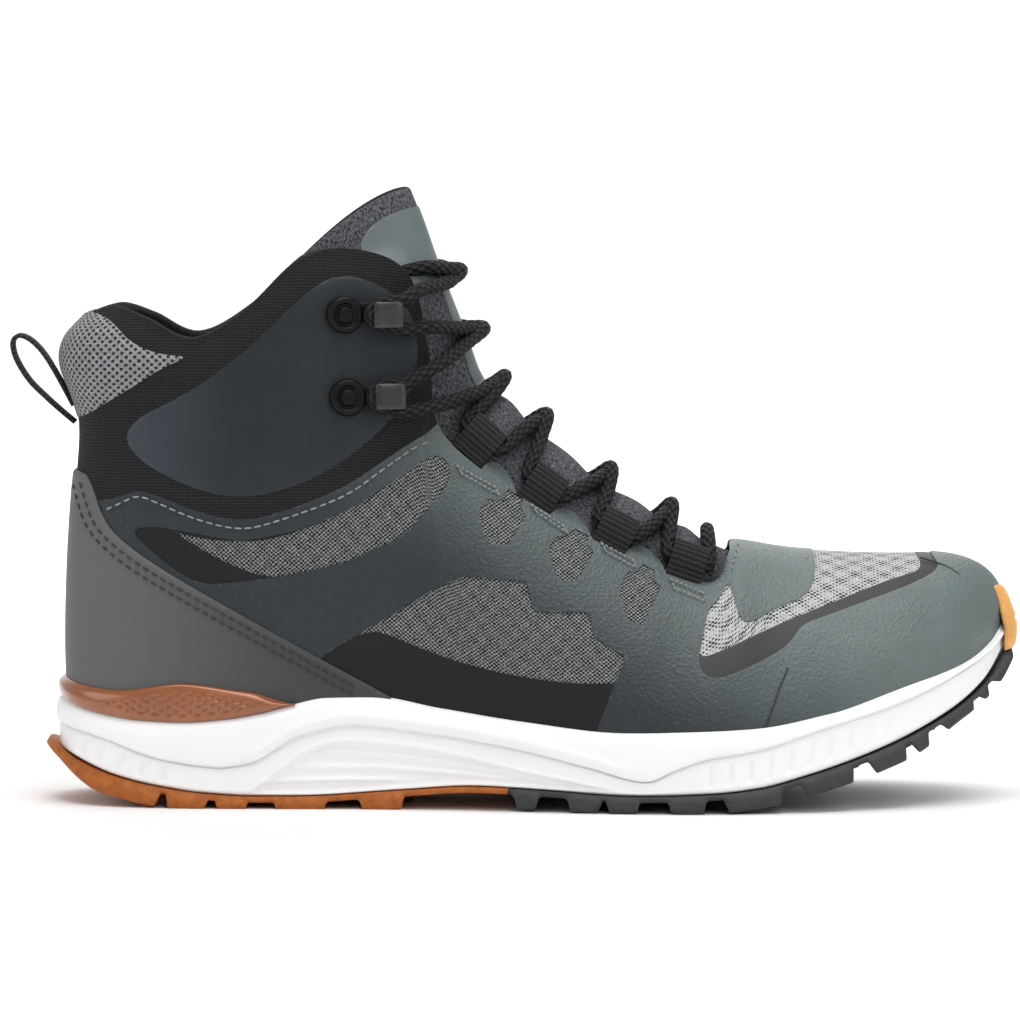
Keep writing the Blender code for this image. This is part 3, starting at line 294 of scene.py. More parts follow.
def clipGrid(data, field, closed, snap=0.04):
    # keeps the part of a grid where field is positive: triangles across the edge are cut where field is zero,
    # and points nearer to it than snap count as on it
    columns, rows = field.shape
    values = np.concatenate([data.reshape(columns * rows, -1), field.reshape(-1, 1)], axis=1)
    values[np.abs(values[:, -1]) < snap, -1] = 0.0
    quads = gridFaces(columns, rows, closed)
    triangles = np.concatenate([quads[:, [0, 1, 2]], quads[:, [0, 2, 3]]])
    inside = values[:, -1] >= 0.0
    count = inside[triangles].sum(axis=1)
    whole = triangles[count == 3]
    single, double = triangles[count == 1], triangles[count == 2]
    turn = np.argmax(inside[single], axis=1)
    single = np.stack([single[np.arange(len(single)), (turn + i) % 3] for i in range(3)], axis=1)
    turn = np.argmin(inside[double], axis=1)
    double = np.stack([double[np.arange(len(double)), (turn + i) % 3] for i in range(3)], axis=1)
    edges = np.concatenate([single[:, [0, 1]], single[:, [0, 2]], double[:, [0, 1]], double[:, [0, 2]]])
    ordered = np.sort(edges, axis=1)
    keys, where = np.unique(ordered[:, 0] * len(values) + ordered[:, 1], return_inverse=True)
    first, second = keys // len(values), keys % len(values)
    share = values[first, -1] / (values[first, -1] - values[second, -1])
    cuts = values[first] * (1 - share[:, None]) + values[second] * share[:, None]
    cuts[:, -1] = 0.0
    where = where.reshape(-1) + len(values)
    s, d = len(single), len(double)
    parts = [whole,
             np.stack([single[:, 0], where[:s], where[s:2 * s]], axis=1),
             np.stack([where[2 * s:2 * s + d], double[:, 1], double[:, 2]], axis=1),
             np.stack([where[2 * s:2 * s + d], double[:, 2], where[2 * s + d:]], axis=1)]
    triangles = np.concatenate(parts)
    used, triangles = np.unique(triangles, return_inverse=True)
    return np.concatenate([values, cuts])[used], triangles.reshape(-1, 3)


# Colours and nodes

def linear(code):
    # sRGB hex to linear
    channels = np.array([int(code[i:i + 2], 16) for i in (1, 3, 5)]) / 255
    return (*np.where(channels <= 0.04045, channels / 12.92, ((channels + 0.055) / 1.055) ** 2.4), 1.0)


def addNode(tree, kind, settings=None, links=None):
    # a key that is a socket's name or number sets the socket, any other key sets the node
    made = tree.nodes.new("ShaderNode" + kind)
    for key, value in (settings or {}).items():
        if isinstance(key, int) or key in made.inputs:
            made.inputs[key].default_value = value
        else:
            setattr(made, key, value)
    for key, source in (links or {}).items():
        tree.links.new(source.outputs[0] if hasattr(source, "outputs") else source, made.inputs[key])
    return made


def startMaterial(name, roughness, sockets=None):
    # new material, with constants set on its shader's own sockets
    made = bpy.data.materials.new(name)
    made.use_nodes = True
    shader = made.node_tree.nodes["Principled BSDF"]
    shader.inputs["Roughness"].default_value = roughness
    for key, value in (sockets or {}).items():
        shader.inputs[key].default_value = value
    return made, made.node_tree, shader


def noise(tree, source, size, detail, roughness=0.5):
    # clouds about size across, in the source's own unit
    settings = {"Scale": 1 / size, "Detail": detail, "Roughness": roughness}
    return addNode(tree, "TexNoise", settings, {"Vector": source})


def remap(tree, source, low, high, toLow=0.0, toHigh=1.0, kind="LINEAR"):
    # source from low to high becomes toLow to toHigh, and stays there beyond
    return addNode(tree, "MapRange", {"interpolation_type": kind, "From Min": low, "From Max": high,
                                      "To Min": toLow, "To Max": toHigh}, {"Value": source})


def scaledSum(tree, first, factor, second):
    # first times a factor, plus second
    return addNode(tree, "Math", {"operation": "MULTIPLY_ADD", 1: factor}, {0: first, 2: second})


def wavePair(tree, sources, pitches, shape, operation):
    # a sine or cosine along each source with a crest every pitch, then both multiplied or added
    waves = {}
    for number, (source, pitch) in enumerate(zip(sources, pitches)):
        turn = addNode(tree, "Math", {"operation": "MULTIPLY", 1: math.tau / pitch}, {0: source})
        waves[number] = addNode(tree, "Math", {"operation": shape}, {0: turn})
    return addNode(tree, "Math", {"operation": operation}, waves)


def leaning(tree, axes, slope, pitch, operation):
    # waves along x + slope y and x - slope y: threads that cross each other
    sources = [scaledSum(tree, axes.outputs["Y"], lean * slope, axes.outputs["X"]) for lean in (1.0, -1.0)]
    return wavePair(tree, sources, (pitch, pitch), "SINE", operation)


def tinted(tree, colour, shade):
    # a colour made brighter or darker by a value around 1
    return addNode(tree, "HueSaturation", {"Color": linear(colour)}, {"Value": shade})


def mixed(tree, share, first, second):
    # first where share is 0, second where it is 1; each is a hex code or a node
    made = addNode(tree, "Mix", {"data_type": "RGBA"}, {0: share})
    for socket, colour in ((6, first), (7, second)):
        if isinstance(colour, str):
            made.inputs[socket].default_value = linear(colour)
        else:
            tree.links.new(colour.outputs[0], made.inputs[socket])
    return made.outputs[2]


def dress(tree, shader, colour, height, strength, depth):
    # colour and a bump of depth millimetres onto the shader
    tree.links.new(colour, shader.inputs["Base Color"])
    bump = addNode(tree, "Bump", {"Strength": strength, "Distance": depth * mm}, {"Height": height})
    tree.links.new(bump.outputs[0], shader.inputs["Normal"])


def clothAxes(tree):
    # the cloth's own millimetres, whole and as separate axes
    cloth = addNode(tree, "Attribute", {"attribute_name": "cloth"}).outputs["Vector"]
    return cloth, addNode(tree, "SeparateXYZ", {}, {0: cloth})


def threadMesh(name, setting):
    # knitted polyester mesh: staggered dark holes between lit strands, drawn on the cloth's own millimetres,
    # a little coarser than real so that they show
    made, tree, shader = startMaterial(name, 0.85, {"Specular IOR Level": 0.2})
    cloth = addNode(tree, "Attribute", {"attribute_name": "cloth"}).outputs["Vector"]
    drift = noise(tree, cloth, setting["wander"], 1.0)
    shift = addNode(tree, "VectorMath", {"operation": "MULTIPLY_ADD", 1: (setting["drift"],) * 3},
                    {0: drift.outputs["Color"], 2: cloth})
    axes = addNode(tree, "SeparateXYZ", {}, {0: shift})
    plane = (axes.outputs["X"], axes.outputs["Y"])
    lattice = wavePair(tree, plane, setting["pitch"], "COSINE", "MULTIPLY")
    if "cluster" in setting:
        group = wavePair(tree, plane, setting["cluster"], "COSINE", "MULTIPLY")
        lattice = scaledSum(tree, group, setting["gather"], lattice)
    hole = remap(tree, lattice, *setting["edge"], kind="SMOOTHSTEP")
    strand = tinted(tree, setting["strand"], remap(tree, noise(tree, cloth, setting["fibre"], 2.0), 0.3, 0.7,
                                                   setting["dim"], setting["bright"]))
    relief = addNode(tree, "Math", {"operation": "MULTIPLY_ADD", 1: -1.0, 2: 1.0}, {0: hole})
    dress(tree, shader, mixed(tree, hole, strand, setting["hole"]), relief, 0.7, setting["depth"])
    return made


def grainedFilm(name, setting):
    # pressed polyurethane film: fine leather-like grain that breaks up a soft sheen, and a tone that fades
    # along x plus rise times z; on the slate film that fade is painted light, paler where it faces up and
    # ahead
    made, tree, shader = startMaterial(name, setting["roughness"], {"Specular IOR Level": setting["shine"]})
    place = addNode(tree, "TexCoord").outputs["Object"]
    cells = addNode(tree, "TexVoronoi", {"Scale": 1 / (setting["grain"] * mm)}, {"Vector": place})
    cloud = noise(tree, place, setting["cloud"] * mm, 3.0)
    fine = noise(tree, place, setting["fine"] * mm, 2.0)
    shade = remap(tree, scaledSum(tree, fine, setting["mottle"], cloud), 0.35, 0.65 + setting["mottle"],
                  setting["dim"], setting["bright"])
    colour = tinted(tree, setting["colour"], shade)
    # fade from colour to ahead; on the slate film this is painted light and shade from above
    if setting["ahead"] != setting["colour"]:
        axes = addNode(tree, "SeparateXYZ", {}, {0: place})
        run = scaledSum(tree, axes.outputs["Z"], setting["rise"], axes.outputs["X"])
        low, high = ((value - shoeOrigin[0]) * mm for value in setting["fade"])
        fade = remap(tree, run, low, high, kind="SMOOTHSTEP")
        tree.links.new(mixed(tree, fade, setting["colour"], setting["ahead"]), colour.inputs["Color"])
    dress(tree, shader, colour.outputs[0], scaledSum(tree, fine, 0.5, cells), setting["relief"], 0.28)
    return made


def twillCloth(name, setting):
    # close-woven polyester: crossed diagonal threads, drawn coarser than real so that they show; the light
    # colour on the threads' raised crowns is a painted highlight, mixed with random fibre tone
    made, tree, shader = startMaterial(name, setting["roughness"], {"Specular IOR Level": 0.15,
                                                                    "Sheen Weight": 0.03})
    cloth, axes = clothAxes(tree)
    weave = leaning(tree, axes, setting["slope"], setting["pitch"], "MULTIPLY")
    fibre = noise(tree, cloth, 1 / 2.2, 2.0)
    mask = remap(tree, scaledSum(tree, fibre, 1.6, weave), 0.2, 1.6)
    dress(tree, shader, mixed(tree, mask, setting["dark"], setting["light"]), weave, 0.6, setting["depth"])
    return made


def heatherKnit(name, setting):
    # melange yarn: light and dark fibres in one knit, a salt-and-pepper grain with short upright stitches
    made, tree, shader = startMaterial(name, 0.9, {"Specular IOR Level": 0.15})
    stretch = addNode(tree, "Mapping", {"Scale": (1.0, 0.55, 1.0)}, {"Vector": clothAxes(tree)[0]})
    pepper = noise(tree, stretch, setting["yarn"], 3.0, 0.7)
    mask = remap(tree, pepper, 0.36, 0.68)
    dress(tree, shader, mixed(tree, mask, setting["dark"], setting["light"]), pepper, 0.6, 0.25)
    return made


def braidedCord(name, setting):
    # round polyester braid: two sets of strands wound against each other, on the cord's own turns and length;
    # the light colour on the strands' crowns is a painted highlight on a black cord
    made, tree, shader = startMaterial(name, 0.75, {"Specular IOR Level": 0.25})
    strands = leaning(tree, clothAxes(tree)[1], 1 / setting["pitch"], 1.0, "ADD")
    mask = remap(tree, strands, -0.4, 1.8)
    dress(tree, shader, mixed(tree, mask, setting["dark"], setting["light"]), strands, 0.8, setting["depth"])
    return made


def mouldedRubber(name, colour, roughness, cloudSize, dim, bright, gritSize, relief, sockets=None):
    # moulded or painted stuff: one colour with faint clouds from dim to bright, and the mould's fine grit
    made, tree, shader = startMaterial(name, roughness, sockets)
    place = addNode(tree, "TexCoord").outputs["Object"]
    shade = remap(tree, noise(tree, place, cloudSize * mm, 4.0), 0.3, 0.7, dim, bright)
    grit = noise(tree, place, gritSize * mm, 2.0)
    dress(tree, shader, tinted(tree, colour, shade).outputs[0], grit, relief, 0.15)
    return made


# Sizes are millimetres. A mesh has a pitch along and across, its holes' soft edge, and rows that wander.
meshes = {
    "windowMesh": ("grey knitted mesh", {  # open and dark, with clustered holes
        "strand": "#8b8d8e", "hole": "#0b0c0c", "pitch": (1.4, 1.25), "edge": (-0.3, 0.35), "wander": 1.5,
        "drift": 0.8, "fibre": 0.5, "dim": 0.4, "bright": 1.45, "depth": 0.35, "cluster": (6.5, 7.5),
        "gather": 0.1}),
    "toeMesh": ("pale jacquard mesh with painted top light", {  # nearly white, with a large woven diamond; partly pale knit, partly painted light from above on the upward-facing toe
        "strand": "#bfc0be", "hole": "#151516", "pitch": (2.0, 1.5), "edge": (0.25, 0.75), "wander": 2.0,
        "drift": 0.5, "fibre": 0.6, "dim": 0.6, "bright": 1.2, "depth": 0.35, "cluster": (9.0, 7.0),
        "gather": 0.5}),
    "tabMesh": ("light air mesh", {  # thick spacer mesh with regular round pits
        "strand": "#929496", "hole": "#2c2d2f", "pitch": (2.8, 2.3), "edge": (0.05, 0.6), "wander": 4.0,
        "drift": 0.5, "fibre": 0.8, "dim": 0.6, "bright": 1.25, "depth": 0.6}),
}
# The fade from colour to ahead along x plus rise times z is painted light on the slate film: paler towards
# the toe and higher up, where the film faces the top light, and darker low down
slateTone = {"colour": "#252c30", "ahead": "#606c6b", "fade": (225, 348), "rise": 1.6, "roughness": 0.42,
             "shine": 0.4, "grain": 1.1, "fine": 0.6, "cloud": 16.0, "mottle": 0.8, "dim": 0.8,
             "bright": 1.22, "relief": 0.9}
filmTones = {
    "slate": ("slate film", {}),  # grained, dark at the heel and low down, pale at the toe and high up: painted light, the top light and sheen that upward film catches
    "slateDark": ("smooth slate film", {  # even and satin, a little bluer
        "colour": "#373f45", "ahead": "#23282c", "fade": (25, 62), "rise": 0.0, "roughness": 0.45,
        "relief": 0.12, "shine": 0.3}),
    "darkFilm": ("charcoal film", {  # nearly black and dull
        "colour": "#1e1f21", "ahead": "#19191b", "roughness": 0.55, "relief": 0.12, "shine": 0.2}),
    "stripe": ("graphite film", {"colour": "#2d2d2d", "ahead": "#2d2d2d", "roughness": 0.5, "relief": 0.12}),
    "counter": ("rubberised grey film", {  # warm grey, dull, darker towards the front
        "colour": "#5f5f60", "ahead": "#3d3e3f", "fade": (10, 90), "rise": 0.0, "roughness": 0.6,
        "grain": 0.6, "relief": 0.2, "dim": 0.94, "bright": 1.06}),
    "badge": ("slate badge film", {"colour": "#5e6869", "ahead": "#5e6869", "relief": 0.15}),
}
# each cloth's light colour is a painted highlight on its thread crowns; the cloth itself is black
cloths = {
    "collar": ("black collar textile", {  # fine diagonal weave that stays black
        "dark": "#141415", "light": "#343437", "pitch": 1.1, "slope": 0.6, "depth": 0.2, "roughness": 0.85}),
    "lining": ("black lining", {  # open square weave
        "dark": "#161617", "light": "#343436", "pitch": 1.6, "slope": 1.0, "depth": 0.3, "roughness": 0.9}),
    "webbing": ("black webbing", {  # ribs along the strap
        "dark": "#121213", "light": "#3a3a3d", "pitch": 1.3, "slope": 0.4, "depth": 0.3, "roughness": 0.8}),
}
# Name, colour, roughness, size of the clouds, their darkest and brightest share, then the grit's size and
# strength.
rubbers = {
    "footbed": ("knit-covered foam", "#4b4b4d", 0.9, 1.2, 0.6, 1.4, 0.8, 0.4),  # speckled grey
    "foam": ("white moulded foam", "#f6f6f6", 0.5, 30.0, 0.98, 1.01, 0.7, 0.06),  # clean satin white
    "gum": ("gum rubber", "#aa602a", 0.6, 3.0, 0.75, 1.2, 0.9, 0.5,
            {"Specular IOR Level": 0.25}),  # dull orange-brown with mottles
    "black": ("black rubber", "#2d3031", 0.55, 3.0, 0.8, 1.25, 0.9, 0.5),  # greyed by its grit
    "amber": ("amber rubber", "#e3a55a", 0.5, 6.0, 0.9, 1.08, 0.9, 0.25),  # pale and even
    "copper": ("copper plastic", "#985a35", 0.28, 8.0, 0.92, 1.08, 1.2, 0.03,
               {"Metallic": 0.25, "Coat Weight": 0.6, "Coat Roughness": 0.12}),  # metallic tint under gloss
    "hookBase": ("black lacquered steel", "#0d0d0e", 0.4, 6.0, 0.9, 1.1, 0.8, 0.05,
                 {"Specular IOR Level": 0.18}),  # deep black with soft edges of light
    "hookPlate": ("satin gunmetal", "#48484a", 0.34, 4.0, 0.92, 1.08, 0.6, 0.08, {"Metallic": 0.85}),
    "thread": ("light grey thread", "#8d9292", 0.7, 1.0, 0.7, 1.2, 0.4, 0.3),  # uneven from ply to ply
    "seam": ("dark line and painted edge shadow", "#262e30", 0.6, 2.0, 0.9, 1.1, 0.6, 0.1),  # dark line in the film; along the toe cap's back edge it is a painted shadow under the nearly flush film edge
    "darkThread": ("dark grey thread", "#303132", 0.7, 1.0, 0.7, 1.2, 0.4, 0.3),
}
looks = {key: threadMesh(*row) for key, row in meshes.items()}
looks.update({key: grainedFilm(name, dict(slateTone, **change)) for key, (name, change) in filmTones.items()})
looks.update({key: twillCloth(*row) for key, row in cloths.items()})
looks.update({key: mouldedRubber(*row) for key, row in rubbers.items()})
looks["heather"] = heatherKnit("heather knit", {"dark": "#1c1c1f", "light": "#74747a", "yarn": 0.7})
# the cord is black; its light colour is a painted highlight on the strands
looks["cord"] = braidedCord("black braided cord", {"dark": "#0e0e0f", "light": "#2f2f32", "pitch": 4.0,
                                                   "depth": 0.3})
print("materials:", len(looks))

# The upper's outer surface as a dense grid, with soft creases, normals and cloth millimetres.
# Rows of the last from easeIn to easeOut are softened below easeTop. Behind turnAt the cloth goes around the
# heel.
skin = {"steps": 16, "rows": 150, "soften": 120, "easeIn": (12.5, 14.5), "easeOut": (17.5, 20.0),
        "easeTop": 0.88, "turnAt": 40.0}
creases = [  # where the film folds softly: place, direction, half length, half width and depth
    {"at": (192, 44), "lean": (0.45, 1.0), "length": 12, "width": 5.0, "depth": 0.3},
    {"at": (104, 108), "lean": (1.0, 0.75), "length": 20, "width": 5.0, "depth": 0.5},
    {"at": (46, 112), "lean": (1.0, 0.1), "length": 18, "width": 6.0, "depth": 0.4},
]


def creaseDepth(x, z):
    # each crease is a soft trough with a low ridge beside it
    depth = np.zeros(x.shape)
    for fold in creases:
        lean = unit(np.array(fold["lean"], float))
        run = (x - fold["at"][0]) * lean[0] + (z - fold["at"][1]) * lean[1]
        side = (z - fold["at"][1]) * lean[0] - (x - fold["at"][0]) * lean[1]
        fade = np.exp(-(run / fold["length"]) ** 2) * fold["depth"]
        depth += fade * (np.exp(-(side / fold["width"]) ** 2)
                         - 0.6 * np.exp(-((side - 2 * fold["width"]) / fold["width"]) ** 2))
    return depth


def clothMillimetres(points):
    # u is x on the sides and the arc around the heel behind turnAt, v is the arc up the rib
    segments = np.linalg.norm(np.roll(points, -1, 0) - points, axis=2)
    half = len(points) // 2
    u = points[..., 0].copy()
    turn = int(np.argmax(points[:half, 0, 0] > skin["turnAt"]))
    back = np.cumsum(segments[:turn][::-1], axis=0)[::-1]
    u[:turn] = u[turn] - back
    mirror = (len(points) - np.arange(1, turn)) % len(points)
    u[mirror] = u[1:turn]
    v = np.cumsum(np.linalg.norm(np.diff(points, axis=1, prepend=points[:, :1]), axis=2), axis=1)
    return np.stack([u, v], axis=-1)


skinShape = lastShape(skin["steps"])
skinPoints = lastPoints(skinShape, np.linspace(0.0, 1.0, skin["rows"]))
ease = smoothStep(*skin["easeIn"], skinShape["station"])
ease = ease * (1 - smoothStep(*skin["easeOut"], skinShape["station"]))
below = 1 - smoothStep(skin["easeTop"], 1.0, np.linspace(0.0, 1.0, skin["rows"]))
ease = (ease[:, None] * below[None, :])[..., None]
for _ in range(skin["soften"]):
    soft = 0.5 * skinPoints + 0.25 * (np.roll(skinPoints, 1, 0) + np.roll(skinPoints, -1, 0))
    skinPoints = skinPoints * (1 - ease) + soft * ease
skinNormals = gridNormals(skinPoints, True)
ridgeColumns = np.where(skinShape["station"] >= ridgeRow)[0]
otherSide = (len(skinPoints) - ridgeColumns) % len(skinPoints)
skinNormals[ridgeColumns, -1] = unit(skinNormals[ridgeColumns, -1] + skinNormals[otherSide, -1])
skinPoints = skinPoints - skinNormals * creaseDepth(skinPoints[..., 0], skinPoints[..., 2])[..., None]
skinCloth = clothMillimetres(skinPoints)
skinData = np.concatenate([skinPoints, skinNormals, skinCloth], axis=2)
skinX, skinY, skinZ = np.moveaxis(skinPoints, 2, 0)
print("skin grid:", skinX.shape)

# Outlines of the panels seen from the side, as (x, z).
outlines = {
    "counter": [(-30, 104), (12, 103.5), (15, 100), (19, 88), (26, 81), (38, 73), (64, 58.3), (89, 44.5),
                (103, 37), (112, 32), (112, 0), (-30, 0)],
    "petal": [(25, 113.5), (29.5, 120), (41, 125.6), (51, 131.5), (64.5, 142), (74, 151.5), (81.5, 158.5),
              (88, 163), (94, 164), (100, 162.8), (106.5, 159.5), (112, 155), (115, 149), (116, 141),
              (115.5, 133), (113, 125.6), (102.5, 114), (89, 104), (75, 98), (62, 95.5), (48.5, 97.7),
              (31.5, 105.6)],
    "aboveBand": [(-30, 93), (19, 93.3), (29.5, 98), (35.5, 96.4), (48.5, 91.2), (61, 88.5), (72, 90.6),
                  (92, 98), (103, 105.3), (113, 112), (120, 116), (135, 130), (180, 130), (180, 220),
                  (-30, 220)],
    "upperWindow": [(27, 85.5), (34, 87), (62, 82.2), (82, 86.3), (98, 93.7), (121, 109.4), (126, 106),
                    (125.5, 99), (112, 84), (92, 75.2), (70, 70.9), (50, 68.7), (40, 74)],
    "upperMesh": [(39.9, 85.7), (48.5, 83.2), (58.9, 82.3), (69.7, 82.6), (81.7, 86.3), (97.7, 93.7),
                  (108.1, 100.4), (121, 110), (126.6, 107), (126.6, 100), (116.1, 87.2), (108.1, 81.4),
                  (92.1, 75.2), (81.7, 72.7), (69.4, 70.9), (58.9, 74.9), (50.9, 78.9), (42.9, 83.8)],
    "lowerWindow": [(101, 55.8), (108.1, 59.8), (118.9, 66.6), (129.3, 71.8), (149.3, 70.3), (152, 61.1),
                    (169, 60.8), (170, 53.4), (179.8, 47.5), (176.4, 39.6), (167.5, 16), (100, 16),
                    (86, 46.5)],
    "lowerPanel": [(86, 46.5), (101, 55.8), (110.6, 52.1), (120.7, 48.1), (130.9, 44.8), (146.2, 41.4),
                   (166.5, 39.2), (176.4, 39.8), (180, 39.8), (180, 14), (100, 14), (76, 52)],
    "vents": [[(144.2, 98.6), (148.6, 95.5), (147.5, 92.2), (149.4, 89.4), (143.5, 81.2), (138, 81.5),
               (136.4, 83.9), (135.2, 88.6), (135.1, 92.2), (138, 95.1), (140.5, 94.3)],
              [(165, 86), (168.8, 83.5), (168.2, 80.7), (170.1, 78.4), (165, 70.3), (159.5, 70.3),
               (157.4, 74.8), (156.4, 80.3), (158.7, 83.6), (161.1, 83.2)],
              [(185, 74.7), (189.1, 72.5), (188.7, 69.6), (190.9, 67.6), (185, 56.7), (180.3, 58.6),
               (178.7, 63.3), (178, 68), (180.7, 72.5), (183.4, 72.1)]],
    "toeWindow": [(202, 46), (203.4, 42.4), (206.5, 41), (210, 41.3), (215, 43), (225, 47.5), (230.2, 50.6),
                  (234.2, 56.1), (247.7, 60.4), (268.3, 66.9), (276.3, 70.2), (278.4, 72.4), (276, 76),
                  (270, 90), (238, 90), (239.5, 72), (238, 67), (235, 64.2), (227.4, 61.5), (218.4, 57),
                  (215.2, 58), (213, 66.6), (211.7, 69), (208.7, 63.5), (205.6, 61.4)],
    "toeMesh": [(201, 46.2), (209.6, 49.1), (220, 53.7), (233.6, 58.9), (247.7, 63.8), (263.1, 69.1),
                (271.7, 70.9), (273, 73.4), (270, 78), (268, 95), (236, 95), (236, 70), (205, 70),
                (196, 60)],
    "toe": [(221.9, 10), (221.9, 24.8), (227.1, 38), (229, 49), (228, 56), (240, 67), (245, 75), (245, 110),
            (340, 110), (340, 10)],
    "heelTab": [(-40, 157), (14, 152.5), (19.9, 150.6), (23.2, 147.9), (26.9, 143.9), (32.8, 140.8),
                (40, 139.2), (46, 139), (37.4, 135.6), (29.4, 130.4), (20.5, 124.8), (13.1, 120.2),
                (6, 117.5), (-40, 117)],
}
tight = {"lowerWindow": 1.2, "toeWindow": 3.0, "upperWindow": 5.0, "vents": 0.2}  # corner radius, else wide
wide = 30.0
films = {  # height over the skin, its share at the edge, the rounded edge's width, rise of a padded middle
    "quarter": {"height": 0.5, "lip": 0.9, "edge": 1.0, "puff": 0.0, "reach": 6.0},
    "toe": {"height": 0.75, "lip": 0.8, "edge": 1.2, "puff": 0.2, "reach": 8.0},
    "counter": {"height": 1.5, "lip": 0.6, "edge": 1.6, "puff": 0.3, "reach": 6.0},
    "petal": {"height": 0.7, "lip": 0.6, "edge": 1.4, "puff": 1.0, "reach": 8.0},
    "collar": {"height": 0.35, "lip": 0.9, "edge": 1.0, "puff": 0.0, "reach": 6.0},
    "tab": {"height": 0.7, "lip": 0.7, "edge": 1.6, "puff": 0.8, "reach": 5.0},
    "mesh": {"height": 0.12, "lip": 0.9, "edge": 1.0, "puff": 0.0, "reach": 6.0},
    "panel": {"height": 0.25, "lip": 0.9, "edge": 1.0, "puff": 0.0, "reach": 6.0},
    "badge": {"height": 0.45, "lip": 0.8, "edge": 1.0, "puff": 0.0, "reach": 6.0},
}


def region(name):
    # an outline's field over the whole skin
    return outlineField(outlines[name], skinX, skinZ, tight.get(name, wide))


topCloth = np.concatenate([skinCloth[..., :1], skinCloth[:, -1:, 1:] - skinCloth[..., 1:]], axis=2)
topData = np.concatenate([skinPoints, skinNormals, topCloth], axis=2)
soleX = skinShape["plan"][:, 0]
cupTop = np.maximum(along(rimLine, soleX), np.where(soleX < sole["clipEnd"], along(clipLine, soleX), 0))
aboveCup = skinZ - cupTop[:, None] + sole["tuck"]
fields = {name: region(name) for name in outlines if name != "vents"}
vents = np.max([outlineField(vent, skinX, skinZ, tight["vents"]) for vent in outlines["vents"]], axis=0)
skirtDepth = 0.3


def filmPoints(cut, faces, setting):
    # points lifted over the grid, with a lower lip at the field's edge and a soft pillow inside it; a skirt
    # with its own points closes the edge down into the surface below
    reach = np.clip(cut[:, 8] / setting["edge"], 0.0, 1.0)
    height = setting["height"] * (setting["lip"] + (1 - setting["lip"]) * np.sqrt(1 - (1 - reach) ** 2))
    height = height + setting["puff"] * (1 - np.exp(-cut[:, 8] / setting["reach"]))
    points = cut[:, :3] + cut[:, 3:6] * height[:, None]
    edges = np.concatenate([faces[:, [0, 1]], faces[:, [1, 2]], faces[:, [2, 0]]])
    ordered = np.sort(edges, axis=1)
    keys = ordered[:, 0] * len(cut) + ordered[:, 1]
    _, first, count = np.unique(keys, return_index=True, return_counts=True)
    rim = edges[first[count == 1]]
    used, rim = np.unique(rim, return_inverse=True)
    rim = rim.reshape(-1, 2) + len(cut)
    low = cut[used, :3] - cut[used, 3:6] * skirtDepth
    skirt = np.stack([rim[:, 1], rim[:, 0], rim[:, 0] + len(used), rim[:, 1] + len(used)], axis=-1)
    points = np.concatenate([points, points[used], low])
    marks = np.concatenate([cut[:, 6:9], cut[used, 6:9], cut[used, 6:9]])
    return points, [faces, skirt], marks


def filmPiece(name, field, setting, look, data):
    # the part of the skin where field is positive, from a little under the cup's edge upwards, as a film
    cut, faces = clipGrid(data, np.minimum(field, aboveCup), True)
    points, faces, marks = filmPoints(cut, faces, setting)
    return putMesh(name, points, faces, [look], {"cloth": marks})


lap = {"counter": 0.8, "toe": 1.2, "edge": 0.6, "window": 1.0}  # how far one film runs on under the next
windows = np.max([fields["upperWindow"], fields["lowerWindow"], fields["toeWindow"], vents], axis=0)
underCounter = lap["counter"] - fields["counter"]
wideWindow = {name: fields[name] + lap["window"] for name in ("upperWindow", "lowerWindow", "toeWindow")}
inside = 50.0  # stands for well inside, and its negative for well outside
half = {word: np.where(skinY * side > 0, inside, -inside) for word, side in bothSides.items()}
filmPieces = [  # name, field, film, look, slot and the node it stands for
    ("quarter_film_skin", [-fields["aboveBand"], underCounter, lap["toe"] - fields["toe"], -windows],
     "quarter", "slate", "slate_film", "quarter_film"),
    ("toe_cap_skin", [fields["toe"], -fields["toeWindow"]], "toe", "slate", "slate_film", "toe_cap"),
    ("heel_counter_skin", [fields["counter"]], "counter", "counter", "grey_film", "heel_counter"),
    ("ankle_panel_lateral_skin", [fields["petal"], half["lateral"]], "petal", "slateDark", "slate_film",
     "ankle_panel_lateral"),
    ("ankle_panel_medial_skin", [fields["petal"], half["medial"]], "petal", "slateDark", "slate_film",
     "ankle_panel_medial"),
    ("collar_textile", [fields["aboveBand"] + lap["edge"], underCounter, lap["edge"] - fields["petal"],
                        lap["edge"] - fields["heelTab"]], "collar", "collar", "knitted_mesh"),
    ("heel_tab_mesh", [fields["heelTab"]], "tab", "tabMesh", "knitted_mesh"),
    ("quarter_dark_panel", [wideWindow["upperWindow"], -fields["upperMesh"], underCounter],
     "panel", "darkFilm", "slate_film"),
    ("lower_dark_panel", [fields["lowerPanel"], wideWindow["lowerWindow"], underCounter],
     "panel", "darkFilm", "slate_film"),
    ("toe_mesh", [wideWindow["toeWindow"], fields["toeMesh"] + lap["edge"]],
     "mesh", "toeMesh", "knitted_mesh"),
    ("toe_stripe", [wideWindow["toeWindow"], -fields["toeMesh"]], "panel", "stripe", "slate_film"),
]
for name, parts, film, look, slot, *nodes in filmPieces:
    data = topData if name == "toe_mesh" else skinData
    settle(filmPiece(name, np.min(parts, axis=0), films[film], looks[look], data), slot, *nodes)
print("films done")

# The shell under the films: outer mesh, rolled collar and throat edge, black lining.
shell = {"columns": 2, "rows": 2, "roll": 9, "inner": 44, "rollHigh": 0.6}


def wallAt(points):
    # the shell's thickness, which grows to the collar's where it is padded, high up at the back
    pad = smoothStep(*wall["padRise"], points[..., 2]) * (1 - smoothStep(*wall["padEnd"], points[..., 0]))
    return wall["shell"] + (wall["collar"] - wall["shell"]) * pad


